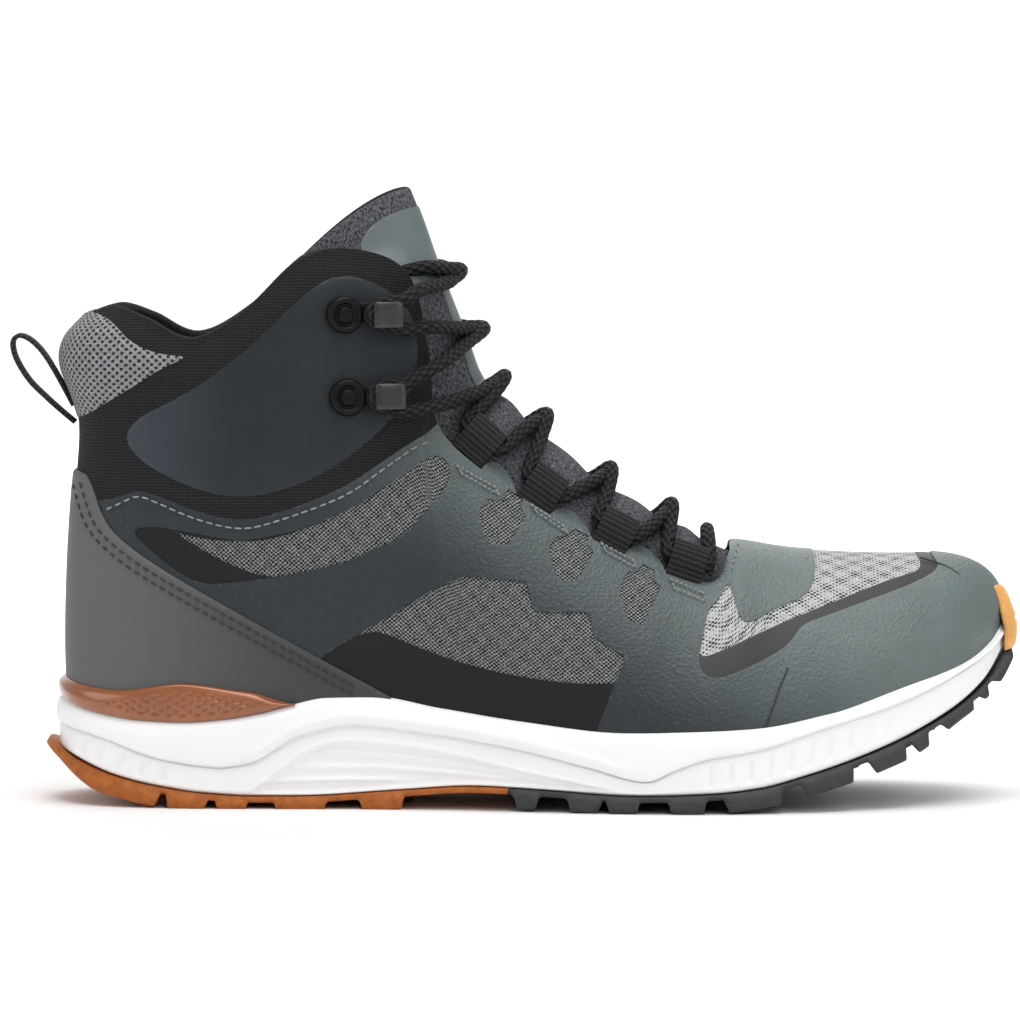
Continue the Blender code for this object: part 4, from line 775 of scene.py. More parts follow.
def buildShell():
    # each column runs up the outer surface, half around the edge and down the inner surface
    points = skinPoints[::shell["columns"]]
    normals = skinNormals[::shell["columns"]]
    cloth = skinCloth[::shell["columns"]]
    station = skinShape["station"][::shell["columns"]]
    rows = np.unique(np.concatenate([np.arange(0, skin["rows"], shell["rows"]), [skin["rows"] - 1]]))
    outer = points[:, rows]
    top, topNormal = points[:, -1], normals[:, -1]
    rise = unit(points[:, -1] - points[:, -4])
    radius = wallAt(top)[:, None] / 2
    turns = np.linspace(0.0, math.pi, shell["roll"])[None, :, None]
    circle = topNormal[:, None] * np.cos(turns) + rise[:, None] * np.sin(turns) * shell["rollHigh"]
    roll = (top - topNormal * radius)[:, None] + circle * radius[:, None]
    inner = np.linspace(skin["rows"] - 1, 0, shell["inner"]).round().astype(int)
    under = points[:, inner] - normals[:, inner] * wallAt(points[:, inner])[..., None]
    count = len(points)
    grids = [outer, roll, under]
    marks = [cloth[:, rows], np.repeat(cloth[:, -1:], shell["roll"], axis=1)
             + np.stack([np.zeros(shell["roll"]), np.arange(shell["roll"]) * 1.0], axis=-1), cloth[:, inner]]
    faces, start, kinds = [], 0, []
    for number, grid in enumerate(grids):
        quads = gridFaces(count, grid.shape[1], True, start)
        if number == 1:
            column = (quads[:, 0] - start) // grid.shape[1]
            edge = np.maximum(station[column], station[(column + 1) % count]) <= ridgeRow
            quads = quads[edge]
        faces.append(quads)
        kinds.append(np.full(len(quads), 0 if number == 0 else 1))
        start += count * grid.shape[1]
    flat = np.concatenate([grid.reshape(-1, 3) for grid in grids])
    mark = np.concatenate([part.reshape(-1, 2) for part in marks])
    mark = np.column_stack([mark, np.zeros(len(mark))])
    used = [looks["windowMesh"], looks["lining"]]
    faces, kinds = np.concatenate(faces), np.concatenate(kinds)
    return putMesh("upper_shell", flat, faces, used, {"cloth": mark}, kinds, weld=0.02)


settle(buildShell(), "knitted_mesh", "upper")
print("shell done")

# Sole
midsole = {"steps": 20, "parts": 5, "lowBand": 2.6, "bandFrom": (0.12, 0.3), "bandTo": (0.66, 0.84),
           "tick": 0.9, "tickWidth": 0.8, "heelLean": 0.35, "foreLean": 0.12,
           "archFrom": (62, 70), "archTo": (160, 182), "recess": 1.1, "recessTop": 1.4, "recessFoot": 2.0,
           "ridge": 0.85, "ridgeWidth": 0.75, "topRidge": 0.6, "ridgeIn": (-2, 4), "ridgeOut": 30,
           "crest": 0.5, "crestFrom": (56, 72), "crestTo": (170, 190), "crestUp": 3.0, "crestWidth": 1.3}
heelTicks = [9.5, 15.0, 22.0, 29.5, 36.0]
foreTicks = [205.0, 211.2, 217.4, 223.6, 229.8, 236.0, 242.2, 248.4, 254.6, 260.8]
recessLine = [(62, 4.0), (67.5, 7.6), (75, 13.2), (83.5, 18.9), (93, 21.0), (114, 19.6), (130, 16.8),
              (148.6, 12.6), (165.5, 9.4), (182, 6.0)]
archRidges = [[(80, 17.6), (100, 16.9), (130, 13.8), (160, 9.2)],
              [(74, 12.8), (100, 12.9), (130, 11.2), (150, 9.2)],
              [(68, 8.4), (95, 9.2), (122, 9.0)]]


def stackFaces(count, rows):
    # side quads of stacked loops stored loop by loop, and quads across the first and the last loop
    rung = np.arange(1, count // 2 - 1)
    across = np.stack([rung, rung + 1, count - rung - 1, count - rung], axis=-1)
    ends = np.array([(0, 1, count - 1), (count // 2 - 1, count // 2, count // 2 + 1)])
    last = (rows - 1) * count
    return [tubeQuads(rows, count), across[:, ::-1], across + last, ends[:, ::-1], ends + last]


def buildMidsole():
    # loops around the sole, as insets from its plan edge and heights: foot, lower band, groove at the step,
    # upper band, rim, bed; ticks, recess, ridges and crest are bells and soft steps along the plan's normal
    shape = lastShape(midsole["steps"])
    x = shape["plan"][:, 0]
    joint, step, rim, bed = (along(line, x) for line in (jointLine, stepLine, rimLine, bedLine))
    step = np.maximum(step, joint + midsole["lowBand"])
    low = [(1.05, joint + share * (step - joint)) for share in (0.25, 0.4, 0.55, 0.7)]
    heights = [(2.2, joint), (1.3, joint + 0.5), (1.0, joint + 0.16 * (step - joint))] + low + [
        (1.2, 0.16 * joint + 0.84 * step), (1.5, step - 0.07 * (step - joint)), (2.3, step - 0.2),
        (0.6, step + 0.35), (0.05, step + 1.0), (0.0, 0.7 * step + 0.3 * rim),
        (0.25, 0.4 * step + 0.6 * rim), (0.8, rim - 1.9),
        (1.5, rim - 0.9), (2.5, rim + 0.05), (3.4, rim + 0.1), (4.3, rim - 0.4),
        (4.3, np.minimum(bed, rim - 0.9))]
    controls = np.stack([np.stack([np.full(len(x), inset), z], axis=-1) for inset, z in heights])
    profile = openSpline(controls, midsole["parts"])
    inset, z = profile[..., 0], profile[..., 1]
    share = (z - joint) / (step - joint)
    band = smoothStep(*midsole["bandFrom"], share) * (1 - smoothStep(*midsole["bandTo"], share))
    outward = np.zeros(z.shape)
    for ticks, lean in ((heelTicks, midsole["heelLean"]), (foreTicks, midsole["foreLean"])):
        for place in ticks:
            away = x - (z - joint) * lean - place
            outward -= midsole["tick"] * np.exp(-(away / midsole["tickWidth"]) ** 2) * band
    top = np.maximum(along(recessLine, x), joint + 0.4)
    arch = smoothStep(*midsole["archFrom"], x) * (1 - smoothStep(*midsole["archTo"], x))
    sunk = smoothStep(0.0, midsole["recessTop"], top - z) * smoothStep(0.0, midsole["recessFoot"], z - joint)
    outward -= arch * midsole["recess"] * sunk
    topRidge = np.exp(-((z - top) / midsole["ridgeWidth"]) ** 2) * (share < 0.9)
    outward += arch * midsole["ridge"] * midsole["topRidge"] * topRidge
    for line in archRidges:
        start, stop = line[0][0], line[-1][0]
        span = smoothStep(start + midsole["ridgeIn"][0], start + midsole["ridgeIn"][1], x)
        span = span * (1 - smoothStep(stop - midsole["ridgeOut"], stop, x))
        outward += span * midsole["ridge"] * np.exp(-((z - along(line, x)) / midsole["ridgeWidth"]) ** 2)
    crest = smoothStep(*midsole["crestFrom"], x) * (1 - smoothStep(*midsole["crestTo"], x))
    crest = crest * (share > 1.02) * (z < rim - 1.5)
    above = z - step - midsole["crestUp"]
    outward += midsole["crest"] * crest * np.exp(-(above / midsole["crestWidth"]) ** 2)
    flat = shape["plan"][None] + shape["normals"][None] * (outward - inset)[..., None]
    points = np.concatenate([flat, z[..., None]], axis=2)
    return putMesh("midsole_foam", points, stackFaces(len(x), len(profile)), [looks["foam"]])


settle(buildMidsole(), "white_foam", "midsole")

# Towards its ends the clip falls by endDrop from dropFrom on and draws in by endInset over its last taper.
clip = {"steps": 40, "parts": 6, "sink": 0.55, "ridge": 0.5, "pitch": 4.4, "slant": 1.7, "bars": (0.72, 0.98),
        "face": 1.8, "windowEdge": (-0.3, 0.5), "endDrop": 1.9, "dropFrom": 64, "taper": 10, "endInset": 0.4}
clipWindow = [(17, 32.6), (26, 33.4), (36, 35.2), (43, 36), (52, 35.2), (62, 33.4), (68, 32.4), (60, 30.2),
              (50, 28.8), (40, 28.4), (28, 29.4)]


def buildHeelClip():
    # closed profile of the stabiliser carried around the heel; a lens-shaped window holds a raised lattice,
    # the larger of two sines that cross
    shape = lastShape(clip["steps"])
    reach = int(np.argmax(shape["plan"][:, 0] > sole["clipEnd"]))
    columns = np.arange(-reach, reach + 1)
    plan, normals = shape["plan"][columns], shape["normals"][columns]
    x = plan[:, 0]
    rim, top = along(rimLine, x), along(clipLine, x)
    top = np.maximum(top - clip["endDrop"] * smoothStep(clip["dropFrom"], sole["clipEnd"], x), rim + 0.5)
    taper = smoothStep(sole["clipEnd"], sole["clipEnd"] - clip["taper"], x)
    heights = [(4.3, rim + 0.3), (2.6, rim + 0.25), (1.3, rim + 0.5), (0.75, 0.72 * rim + 0.28 * top),
               (0.6, 0.5 * rim + 0.5 * top), (0.95, 0.25 * rim + 0.75 * top), (1.7, top - 0.6), (2.6, top),
               (3.5, top + 0.05), (4.3, top - 0.2)]
    drawn = (1 - taper) * clip["endInset"]
    controls = np.stack([np.stack([inset + drawn, z], axis=-1) for inset, z in heights])
    profile = openSpline(controls, clip["parts"])
    inset, z = profile[..., 0], profile[..., 1]
    arc = arcLength(plan)
    field = outlineField(clipWindow, np.broadcast_to(x, z.shape), z, wide)
    sunk = smoothStep(*clip["windowEdge"], field) * (inset < clip["face"])
    across = (z - rim) * clip["slant"]
    lattice = np.maximum(np.abs(np.sin(math.pi * (arc + across) / clip["pitch"])),
                         np.abs(np.sin(math.pi * (arc - across) / clip["pitch"])))
    lattice = smoothStep(*clip["bars"], lattice)
    outward = sunk * (clip["ridge"] * lattice - clip["sink"])
    flat = plan[None] + normals[None] * (outward - inset)[..., None]
    points = np.swapaxes(np.concatenate([flat, z[..., None]], axis=2), 0, 1)
    count, rows = points.shape[:2]
    quads = gridFaces(count, rows, False)
    here, after = np.arange(count - 1) * rows, np.arange(1, count) * rows
    closing = np.stack([here + rows - 1, after + rows - 1, after, here], axis=-1)
    half = np.arange(rows // 2)
    end = np.stack([half, half + 1, rows - 2 - half, rows - 1 - half], axis=-1)
    last = (count - 1) * rows
    return putMesh("heel_clip_skin", points, [quads, closing, end, end[:, ::-1] + last], [looks["copper"]])


settle(buildHeelClip(), "copper_plastic", "heel_clip")

guard = {"from": 298.8, "steps": 48, "thick": 2.6, "clear": 0.9, "low": 45.6, "high": 66.2, "rows": 61,
         "notch": 0.5, "notchAt": 55.5, "notchWide": 0.7, "onCap": (-2.0, 7.0), "thin": 0.35,
         "thinRun": (0.5, 0.95)}


def buildToeGuard():
    # crescent over the toe tip: its inner face runs up the cup's edge and the toe cap, its outer face lies a
    # thickness beyond that falls to nothing at every edge as an ellipse does; a shallow notch crosses it
    shape = lastShape(guard["steps"])
    columns = np.where(shape["plan"][:, 0] > guard["from"])[0]
    plan, normals = shape["plan"][columns], shape["normals"][columns]
    ribs = lastPoints(shape, np.linspace(0.0, 0.8, 120))[columns]
    outward = np.sum((ribs[..., :2] - plan[:, None]) * normals[:, None], axis=2)
    share = np.linspace(0.0, 1.0, guard["rows"])
    z = guard["low"] + (guard["high"] - guard["low"]) * share
    cap = np.stack([np.interp(z, rib[:, 2], out) for rib, out in zip(ribs, outward)]) + guard["clear"]
    over = smoothStep(*guard["onCap"], z[None] - along(rimLine, plan[:, 0])[:, None])
    inner = sole["gap"] * (1 - over) + cap * over
    ends = np.sqrt(1 - np.linspace(-1.0, 1.0, len(columns)) ** 4)[:, None]
    thick = guard["thick"] * np.sqrt(1 - np.abs(2 * share - 1) ** 5)
    thick = thick * (1 - guard["thin"] * smoothStep(*guard["thinRun"], share))
    thick = thick - guard["notch"] * np.exp(-((z - guard["notchAt"]) / guard["notchWide"]) ** 2)
    sheets = [np.concatenate([plan[:, None] + normals[:, None] * reach[..., None],
                              np.broadcast_to(z[None, :, None], (*reach.shape, 1))], axis=2)
              for reach in (inner + thick * ends, inner)]
    quads = gridFaces(len(columns), len(z), False)
    faces = [quads, quads[:, ::-1] + len(columns) * len(z)]
    return putMesh("toe_guard_skin", np.stack(sheets), faces, [looks["amber"]], weld=0.01)


settle(buildToeGuard(), "amber_rubber", "toe_guard")

outsole = {"plate": 1.9, "reach": 6.4, "inset": 0.3, "wall": 1.7, "split": 144.0, "flare": 2.6,
           "across": 72, "stations": 300, "heelShare": 0.35, "heelRun": (0.0, 20.0), "toeLess": 0.4,
           "toeRun": (264.0, 284.0), "tipLess": 0.6, "tipRun": (298.6, 300.6), "steps": 28, "endGap": 0.02,
           "flareRun": (2.8, 10.0), "flareBack": 0.8, "laneTail": 0.6, "edgeWide": 0.9, "edgeRound": 0.8,
           "lanes": [(-1.0, -0.4, 0.0), (-0.27, 0.27, 6.0), (0.4, 1.0, 0.0)]}
lugs = {
    "outsole_heel": [(-20.0, 36.2), (37.4, 51.2), (53.0, 63.8), (71.5, 88.4), (98.0, 112.4)],
    "outsole_forefoot": [(145.0, 153.5), (161.4, 172.6), (173.4, 184.4), (192.6, 205.0), (210.0, 229.0),
                         (234.6, 251.4), (255.6, 268.2), (269.2, 275.4), (278.7, 290.0), (291.0, 295.2),
                         (296.2, 340.0)],
}


def buildOutsole(name, start, stop, look):
    # sections across the sole along x: a flat top on the joint line and an underside pushed down by the lugs,
    # each a smooth block with sloped walls that ends at its full reach or on the floor
    shape = lastShape(outsole["steps"])
    plan = shape["plan"] - shape["normals"] * outsole["inset"]
    half = shape["tip"]
    t = np.linspace(0.0, 1.0, outsole["stations"])
    ease = np.sin(t * math.pi / 2) if name == "outsole_forefoot" else 1 - np.cos(t * math.pi / 2)
    low = max(start, plan[:, 0].min() + outsole["endGap"])
    high = min(stop, plan[:, 0].max() - outsole["endGap"])
    x = low + (high - low) * ease
    outer, inner = plan[:half + 1], np.concatenate([plan[:1], plan[:half - 1:-1]])
    outerY, innerY = (np.interp(x, np.maximum.accumulate(side[:, 0]), side[:, 1]) for side in (outer, inner))
    flare = 1 - smoothStep(*outsole["flareRun"], x)
    joint = along(jointLine, x) + outsole["flare"] * flare
    slope = along(jointLine, x + 0.5) - along(jointLine, x - 0.5)
    down = np.stack([slope, np.zeros(len(x)), -np.ones(len(x))], axis=-1) / np.sqrt(1 + slope ** 2)[:, None]
    heelShare = outsole["heelShare"] + (1 - outsole["heelShare"]) * smoothStep(*outsole["heelRun"], x)
    reach = outsole["reach"] * heelShare * (1 - outsole["toeLess"] * smoothStep(*outsole["toeRun"], x))
    reach = reach * (1 - outsole["tipLess"] * smoothStep(*outsole["tipRun"], x))
    tread = x + down[:, 0] * reach
    share = np.linspace(-1.0, 1.0, outsole["across"])
    width = (innerY - outerY)[:, None] / 2
    block = np.zeros((len(x), len(share)))
    for laneStart, laneStop, ahead in outsole["lanes"]:
        left = smoothStep(0, outsole["wall"], (share - laneStart) * width) if laneStart > -1.0 else 1.0
        right = smoothStep(0, outsole["wall"], (laneStop - share) * width) if laneStop < 1.0 else 1.0
        for lugStart, lugStop in lugs[name]:
            run = (smoothStep(0, outsole["wall"], tread - lugStart - ahead)
                   * smoothStep(0, outsole["wall"], lugStop + ahead * outsole["laneTail"] - tread))[:, None]
            block = np.maximum(block, run * left * right)
    plate = outsole["plate"] / outsole["reach"]
    depth = sole["gap"] + (reach[:, None] - sole["gap"]) * (plate + (1 - plate) * block)
    edge = np.clip((1 - np.abs(share)) * np.maximum(width, 0.5) / outsole["edgeWide"], 0.0, 1.0)
    depth = depth - outsole["edgeRound"] * (1 - np.sqrt(1 - (1 - edge) ** 2))
    y = (innerY + outerY)[:, None] / 2 + share * width
    x = x - outsole["flareBack"] * outsole["flare"] * flare
    under = np.stack(np.broadcast_arrays(x[:, None], y, joint[:, None]), axis=-1)
    under = under + down[:, None] * depth[..., None]
    under[..., 2] = np.maximum(under[..., 2], 0.0)
    top = np.stack([np.column_stack([x, side, joint]) for side in (innerY, outerY)], axis=1)
    top = top + down[:, None] * sole["gap"]
    sections = np.concatenate([under, top], axis=1)
    return sweep(name + "_tread", sections, [look], np.zeros((sections.shape[0] * sections.shape[1], 3)))


def sweep(name, sections, looksUsed, marks, kinds=None):
    # like closed sections one after another, joined by quads, with quads across both ends
    count, around = sections.shape[:2]
    half = np.arange(around // 2 - 1)
    cap = np.stack([half, half + 1, around - 2 - half, around - 1 - half], axis=-1)
    faces = [tubeQuads(count, around), cap[:, ::-1], cap + (count - 1) * around]
    return putMesh(name, sections, faces, looksUsed, {"cloth": marks}, kinds)


heelTread = buildOutsole("outsole_heel", -10.0, outsole["split"] - sole["gap"], looks["gum"])
settle(heelTread, "gum_rubber", "outsole_heel")
foreTread = buildOutsole("outsole_forefoot", outsole["split"] + sole["gap"], 340.0, looks["black"])
settle(foreTread, "black_rubber", "outsole_forefoot")

footbed = {"inset": 8.2, "lift": 0.3, "edge": [(1.2, 0.0), (0.4, 0.25), (0.0, 1.0), (0.0, 2.8),
                                               (0.35, 3.6), (1.2, 3.95), (2.6, 4.0)]}


def buildFootbed():
    # loops inside the cup at insets and heights of a rounded edge, closed across the underside and the top
    shape = lastShape(12)
    loops = []
    for inset, height in footbed["edge"]:
        up = footbed["lift"] + height
        loops.append(ringAround(shape, footbed["inset"] + inset, lambda x: along(bedLine, x) + up))
    faces = stackFaces(len(shape["plan"]), len(loops))
    return putMesh("footbed_pad", np.stack(loops), faces, [looks["footbed"]])


settle(buildFootbed(), "grey_foam", "insole")
print("sole done")

# Tongue: apex x and z, thickness, how far its top runs past its edges, then the row of the last whose throat
# edge its edges lie under, or else the edges' own x, z and half width.
tongueRows = [
    (229.0, 74.0, 2.2, 1.0, None, 228.0, 66.0, 17.0), (215.0, 76.4, 2.6, 1.0, None, 213.0, 65.5, 16.0),
    (204.5, 80.6, 3.6, 1.05, 14.0, None, None, None), (189.5, 88.0, 4.4, 1.2, 13.0, None, None, None),
    (168.3, 101.2, 4.4, 1.2, 12.0, None, None, None), (147.3, 119.6, 4.4, 1.2, 11.0, None, None, None),
    (136.2, 130.5, 4.4, 1.15, 10.0, None, None, None), (130.6, 144.5, 4.4, 1.04, 9.0, None, None, None),
    (122.4, 165.5, 4.4, 1.04, 8.0, None, None, None), (117.3, 180.0, 4.2, 1.08, None, 93.0, 168.0, 20.0),
    (113.6, 189.6, 3.6, 1.14, None, 84.4, 172.5, 19.5)]
tongue = {"middle": 0.6, "tuck": 0.9, "rows": 161, "across": 61, "puff": 1.3, "round": 1.8,
          "domeRows": (7.9, 10.0), "edgeThin": 0.55, "footFlat": 0.55}
lace = {"radius": 2.2, "lift": 2.7, "rows": [2.85, 3.8, 4.75, 5.75, 7.0], "end": 7.85, "bar": 2.0,
        "over": 2.9, "sides": 20, "steps": 14, "strands": 6, "pitch": 4.0, "swell": 0.02,
        "inLoop": (3.0, 6.8), "beside": 0.4, "barSide": 0.45, "clear": 0.4, "barClear": 0.8}
loop = {"rows": [2.42, 3.4, 4.35, 5.3], "across": 0.8, "height": 5.2, "strap": 1.0, "width": 11.6,
        "grow": 1.12}
hooks = {"places": [(94.0, 126.4), (92.7, 152.0)], "edges": [(9.75, 9.2), (8.75, 8.25)], "seat": 2.9,
         "thick": 1.6, "around": 48, "clear": 0.3, "edgeLift": 3.4,
         "turn": [(18.0, -4.6), (13.0, -3.5), (9.4, -2.9), (7.4, 0.0), (9.4, 2.9), (13.0, 3.5), (18.0, 4.6)]}
coarse = lastShape(2)
coarseRibs = lastPoints(coarse, np.linspace(0.3, 1.0, 141))


def throatEdge(station, side):
    # point of the throat's edge and the last's outward normal there
    column = station * 2
    low = int(min(math.floor(column), coarse["tip"] - 2))
    share = column - low
    pair = [k if side == lateral else len(coarse["plan"]) - k for k in (low, low + 1)]
    ribs = lastPoints(coarse, [0.96, 1.0])
    below, top = (ribs[pair[0], i] * (1 - share) + ribs[pair[1], i] * share for i in (0, 1))
    normal = unit(np.cross(ribs[pair[1], 1] - ribs[pair[0], 1], top - below))
    return top, normal if normal[1] * side > 0 else -normal


def tongueTable():
    # the rows with both edges as points, each on the throat or on the row's own place
    rows = []
    for x, z, thick, reach, station, edgeX, edgeZ, half in tongueRows:
        edges = []
        for side in (lateral, medial):
            if station is None:
                edges.append(np.array((edgeX, tongue["middle"] + side * half, edgeZ)))
            else:
                top, normal = throatEdge(station, side)
                edges.append(top - normal * (wall["shell"] + tongue["tuck"]))
        rows.append(np.concatenate([(x, tongue["middle"], z), *edges, (thick, reach)]))
    return np.array(rows)


tongueValues = tongueTable()


def tongueTop(rows, across):
    # apex plus the fall to the edge, which grows with the square of the share across
    rows, across = np.broadcast_arrays(np.asarray(rows, float), np.asarray(across, float))
    low = np.clip(np.floor(rows).astype(int), 0, len(tongueRows) - 2)
    before, beyond = np.maximum(low - 1, 0), np.minimum(low + 2, len(tongueRows) - 1)
    values = spline(tongueValues[before], tongueValues[low], tongueValues[low + 1], tongueValues[beyond],
                    (rows - low)[..., None])
    apex = values[..., :3]
    fall = np.where(across[..., None] < 0, values[..., 3:6], values[..., 6:9]) - apex
    s = np.abs(across)
    dome = 2.0 + smoothStep(*tongue["domeRows"], rows)
    return apex + fall * np.stack([s * s, s, s ** dome], axis=-1), values[..., 9], values[..., 10]


def tonguePoint(row, across, lift=0.0):
    # point of the tongue's top, lifted along its normal there
    point = tongueTop(row, across)[0]
    ahead = tongueTop(min(row + 0.05, 10.0), across)[0] - tongueTop(max(row - 0.05, 0.0), across)[0]
    sideways = tongueTop(row, across + 0.02)[0] - tongueTop(row, across - 0.02)[0]
    return point + unit(np.cross(sideways, ahead)) * lift


def buildTongue():
    # sections of a padded arch: the top swells by a squared sine between the lace's crossings, and the
    # underside lies a thickness below it
    rows = np.linspace(0.0, 10.0, tongue["rows"])[:, None]
    share = np.linspace(-1.0, 1.0, tongue["across"])[None, :]
    reach = np.interp(rows[:, 0], np.arange(len(tongueRows)), tongueValues[:, 10])[:, None]
    across = share * reach
    top, thick, _ = tongueTop(rows, across)
    normals = -gridNormals(top, False)
    marks = np.array([lace["bar"]] + lace["rows"] + [lace["end"]])
    phase = np.interp(rows[:, 0], marks, np.arange(len(marks)))
    crossed = (rows[:, 0] > marks[0]) & (rows[:, 0] < lace["rows"][3])
    puff = tongue["puff"] * np.sin(math.pi * phase) ** 2 * crossed
    top = top + normals * (puff[:, None] * (1 - np.abs(share) ** 4))[..., None]
    arc = arcLength(top[:, tongue["across"] // 2])
    side = np.cumsum(np.linalg.norm(np.diff(top, axis=1, prepend=top[:, :1]), axis=2), axis=1)
    side = side - side[:, tongue["across"] // 2][:, None]
    cloth = np.stack([side, np.broadcast_to(arc[:, None], side.shape), np.zeros(side.shape)], axis=-1)
    down = thick * (1 - tongue["edgeThin"] * np.abs(share) ** 6) + puff[:, None] * 0.5
    under = top - normals * down[..., None]
    section = np.concatenate([top, under[:, ::-1]], axis=1)
    weave = np.concatenate([cloth, cloth[:, ::-1]], axis=1)
    middle = np.concatenate([0.5 * (top + under), 0.5 * (top + under)[:, ::-1]], axis=1)
    lift = unit(section[-1] - section[-2])[None]
    turn = (np.linspace(0.0, math.pi / 2, 6)[1:])[:, None, None]
    tip = middle[-1:] + (section[-1:] - middle[-1:]) * np.cos(turn) + lift * np.sin(turn) * tongue["round"]
    foot = tongue["footFlat"] * middle[:1] + (1 - tongue["footFlat"]) * section[:1]
    section = np.concatenate([foot, section, tip])
    onward = np.arange(1, len(tip) + 1)[:, None, None] * np.array([0.0, 0.6, 0.0])
    weave = np.concatenate([weave[:1], weave, weave[-1:] + onward])
    count, around = section.shape[:2]
    lined = (np.arange(around)[None, :] >= around // 2) | (np.arange(count - 1)[:, None] >= count - 4)
    kinds = np.concatenate([lined.reshape(-1), np.ones(2 * (around // 2 - 1))])
    body = sweep("tongue_pad", section, [looks["heather"], looks["lining"]], weave.reshape(-1, 3), kinds)
    data = np.concatenate([top, normals, cloth[..., :2]], axis=2)
    return body, data, np.broadcast_to(rows, side.shape), side


tongueBody, tongueData, tongueRowAt, tongueSide = buildTongue()
settle(tongueBody, "heather_knit", "tongue")
tongueFilm = {"badge": [(140, 186), (116.1, 185.2), (106.9, 182.4), (101.5, 179.1), (98.6, 175.1),
                        (97.6, 171.5), (104, 165), (113, 160.5), (128, 158), (150, 150)],
              "half": 9.5, "from": 6.0, "to": 9.0}


def buildTongueFilm():
    # badge seen from the side, joined to a strip of even width down the tongue's middle
    badge = outlineField(tongueFilm["badge"], tongueData[..., 0], tongueData[..., 2], wide)
    strip = np.minimum(tongueFilm["half"] - np.abs(tongueSide),
                       np.minimum(tongueRowAt - tongueFilm["from"], tongueFilm["to"] - tongueRowAt) * 16.0)
    cut, faces = clipGrid(tongueData, np.maximum(badge, strip), False)
    points, faces, marks = filmPoints(cut, faces, films["badge"])
    faces = [part[:, ::-1] for part in faces]
    return putMesh("tongue_badge", points, faces, [looks["badge"]], {"cloth": marks})


settle(buildTongueFilm(), "slate_film")
throatTabs = {"between": [(12.82, 13.33), (11.86, 12.38), (10.94, 11.44)], "high": 7.0, "arch": 2.4,
              "rows": 33, "columns": 61, "rest": 0.35}


def buildThroatTabs():
    # between two loops the film runs on past the throat's edge in a low arch: a grid along the edge and up
    # the rib's own direction, which sinks onto the nearest points of the tongue as it leaves the edge
    rise = unit(skinPoints[:, -1] - skinPoints[:, -4])
    edges = np.concatenate([skinPoints[:, -1], rise, skinCloth[:, -1]], axis=1)
    tongueFlat = tongueData.reshape(-1, tongueData.shape[2])
    up = np.linspace(0.0, throatTabs["high"], throatTabs["rows"])
    pieces, start = [], 0
    for side in (lateral, medial):
        for low, high in throatTabs["between"]:
            share = np.linspace(0.0, 1.0, throatTabs["columns"])
            column = (low + (high - low) * share) * skin["steps"]
            column = column if side == lateral else (len(edges) - column)[::-1]
            first = np.floor(column).astype(int)
            part = (column - first)[:, None]
            here = edges[first] * (1 - part) + edges[first + 1] * part
            points = here[:, None, :3] + here[:, None, 3:6] * up[None, :, None]
            far = np.sum(tongueFlat[:, :3] ** 2, axis=1) - 2 * points.reshape(-1, 3) @ tongueFlat[:, :3].T
            near = tongueFlat[np.argmin(far, axis=1)].reshape(*points.shape[:2], -1)
            gap = np.sum((points - near[..., :3]) * near[..., 3:6], axis=2)
            wanted = gap[:, :1] + (throatTabs["rest"] - gap[:, :1]) * smoothStep(0.0, throatTabs["high"], up)
            points = points + near[..., 3:6] * (wanted - gap)[..., None]
            cloth = np.stack(np.broadcast_arrays(here[:, 6:7], here[:, 7:8] + up), axis=-1)
            arch = throatTabs["high"] * (1 - np.abs(2 * share - 1) ** throatTabs["arch"])
            data = np.concatenate([points, gridNormals(points, False), cloth], axis=2)
            cut, faces = clipGrid(data, arch[:, None] - up[None], False)
            points, faces, marks = filmPoints(cut, faces, films["quarter"])
            pieces.append((points, [face + start for face in faces], marks))
            start += len(points)
    faces = [np.concatenate([piece[1][kind] for piece in pieces]) for kind in (0, 1)]
    return putMesh("throat_tabs", np.concatenate([piece[0] for piece in pieces]), faces, [looks["slate"]],
                   {"cloth": np.concatenate([piece[2] for piece in pieces])})


settle(buildThroatTabs(), "slate_film")
print("tongue done")


def roundSections(path, radius, sides, strands, pitch, swell, start=(0.0, 0.3, 1.0)):
    # circle across the path, turned as little as possible from point to point, with the braid's swell
    ahead = unit(np.gradient(path, axis=0))
    across = [unit(np.cross(ahead[0], np.array(start)))]
    for step in ahead[1:]:
        across.append(unit(across[-1] - step * np.dot(across[-1], step)))
    across = np.array(across)
    other = np.cross(ahead, across)
    turn = np.arange(sides) / sides
    length = arcLength(path)
    weave = (np.sin(math.tau * (strands * turn[None] + length[:, None] / pitch))
             + np.sin(math.tau * (strands * turn[None] - length[:, None] / pitch)))
    reach = radius * (1 + swell * weave)
    circle = (across[:, None] * np.cos(math.tau * turn)[None, :, None]
              + other[:, None] * np.sin(math.tau * turn)[None, :, None])
    marks = np.stack(np.broadcast_arrays(strands * turn[None], length[:, None], 0.0), axis=-1)
    return path[:, None] + circle * reach[..., None], marks.reshape(-1, 3)


def loopFrame(row, side):
    # a loop's middle, and its directions along the tongue, up and out
    across = side * loop["across"]
    middle = tonguePoint(row, across, loop["height"] / 2 + loop["strap"] + 0.5)
    ahead = unit(tonguePoint(row + 0.1, across) - tonguePoint(row - 0.1, across))
    out = unit(tonguePoint(row, across, 1.0) - tonguePoint(row, across))
    up = unit(np.cross(out, ahead)) * side
    return middle, ahead, up, out


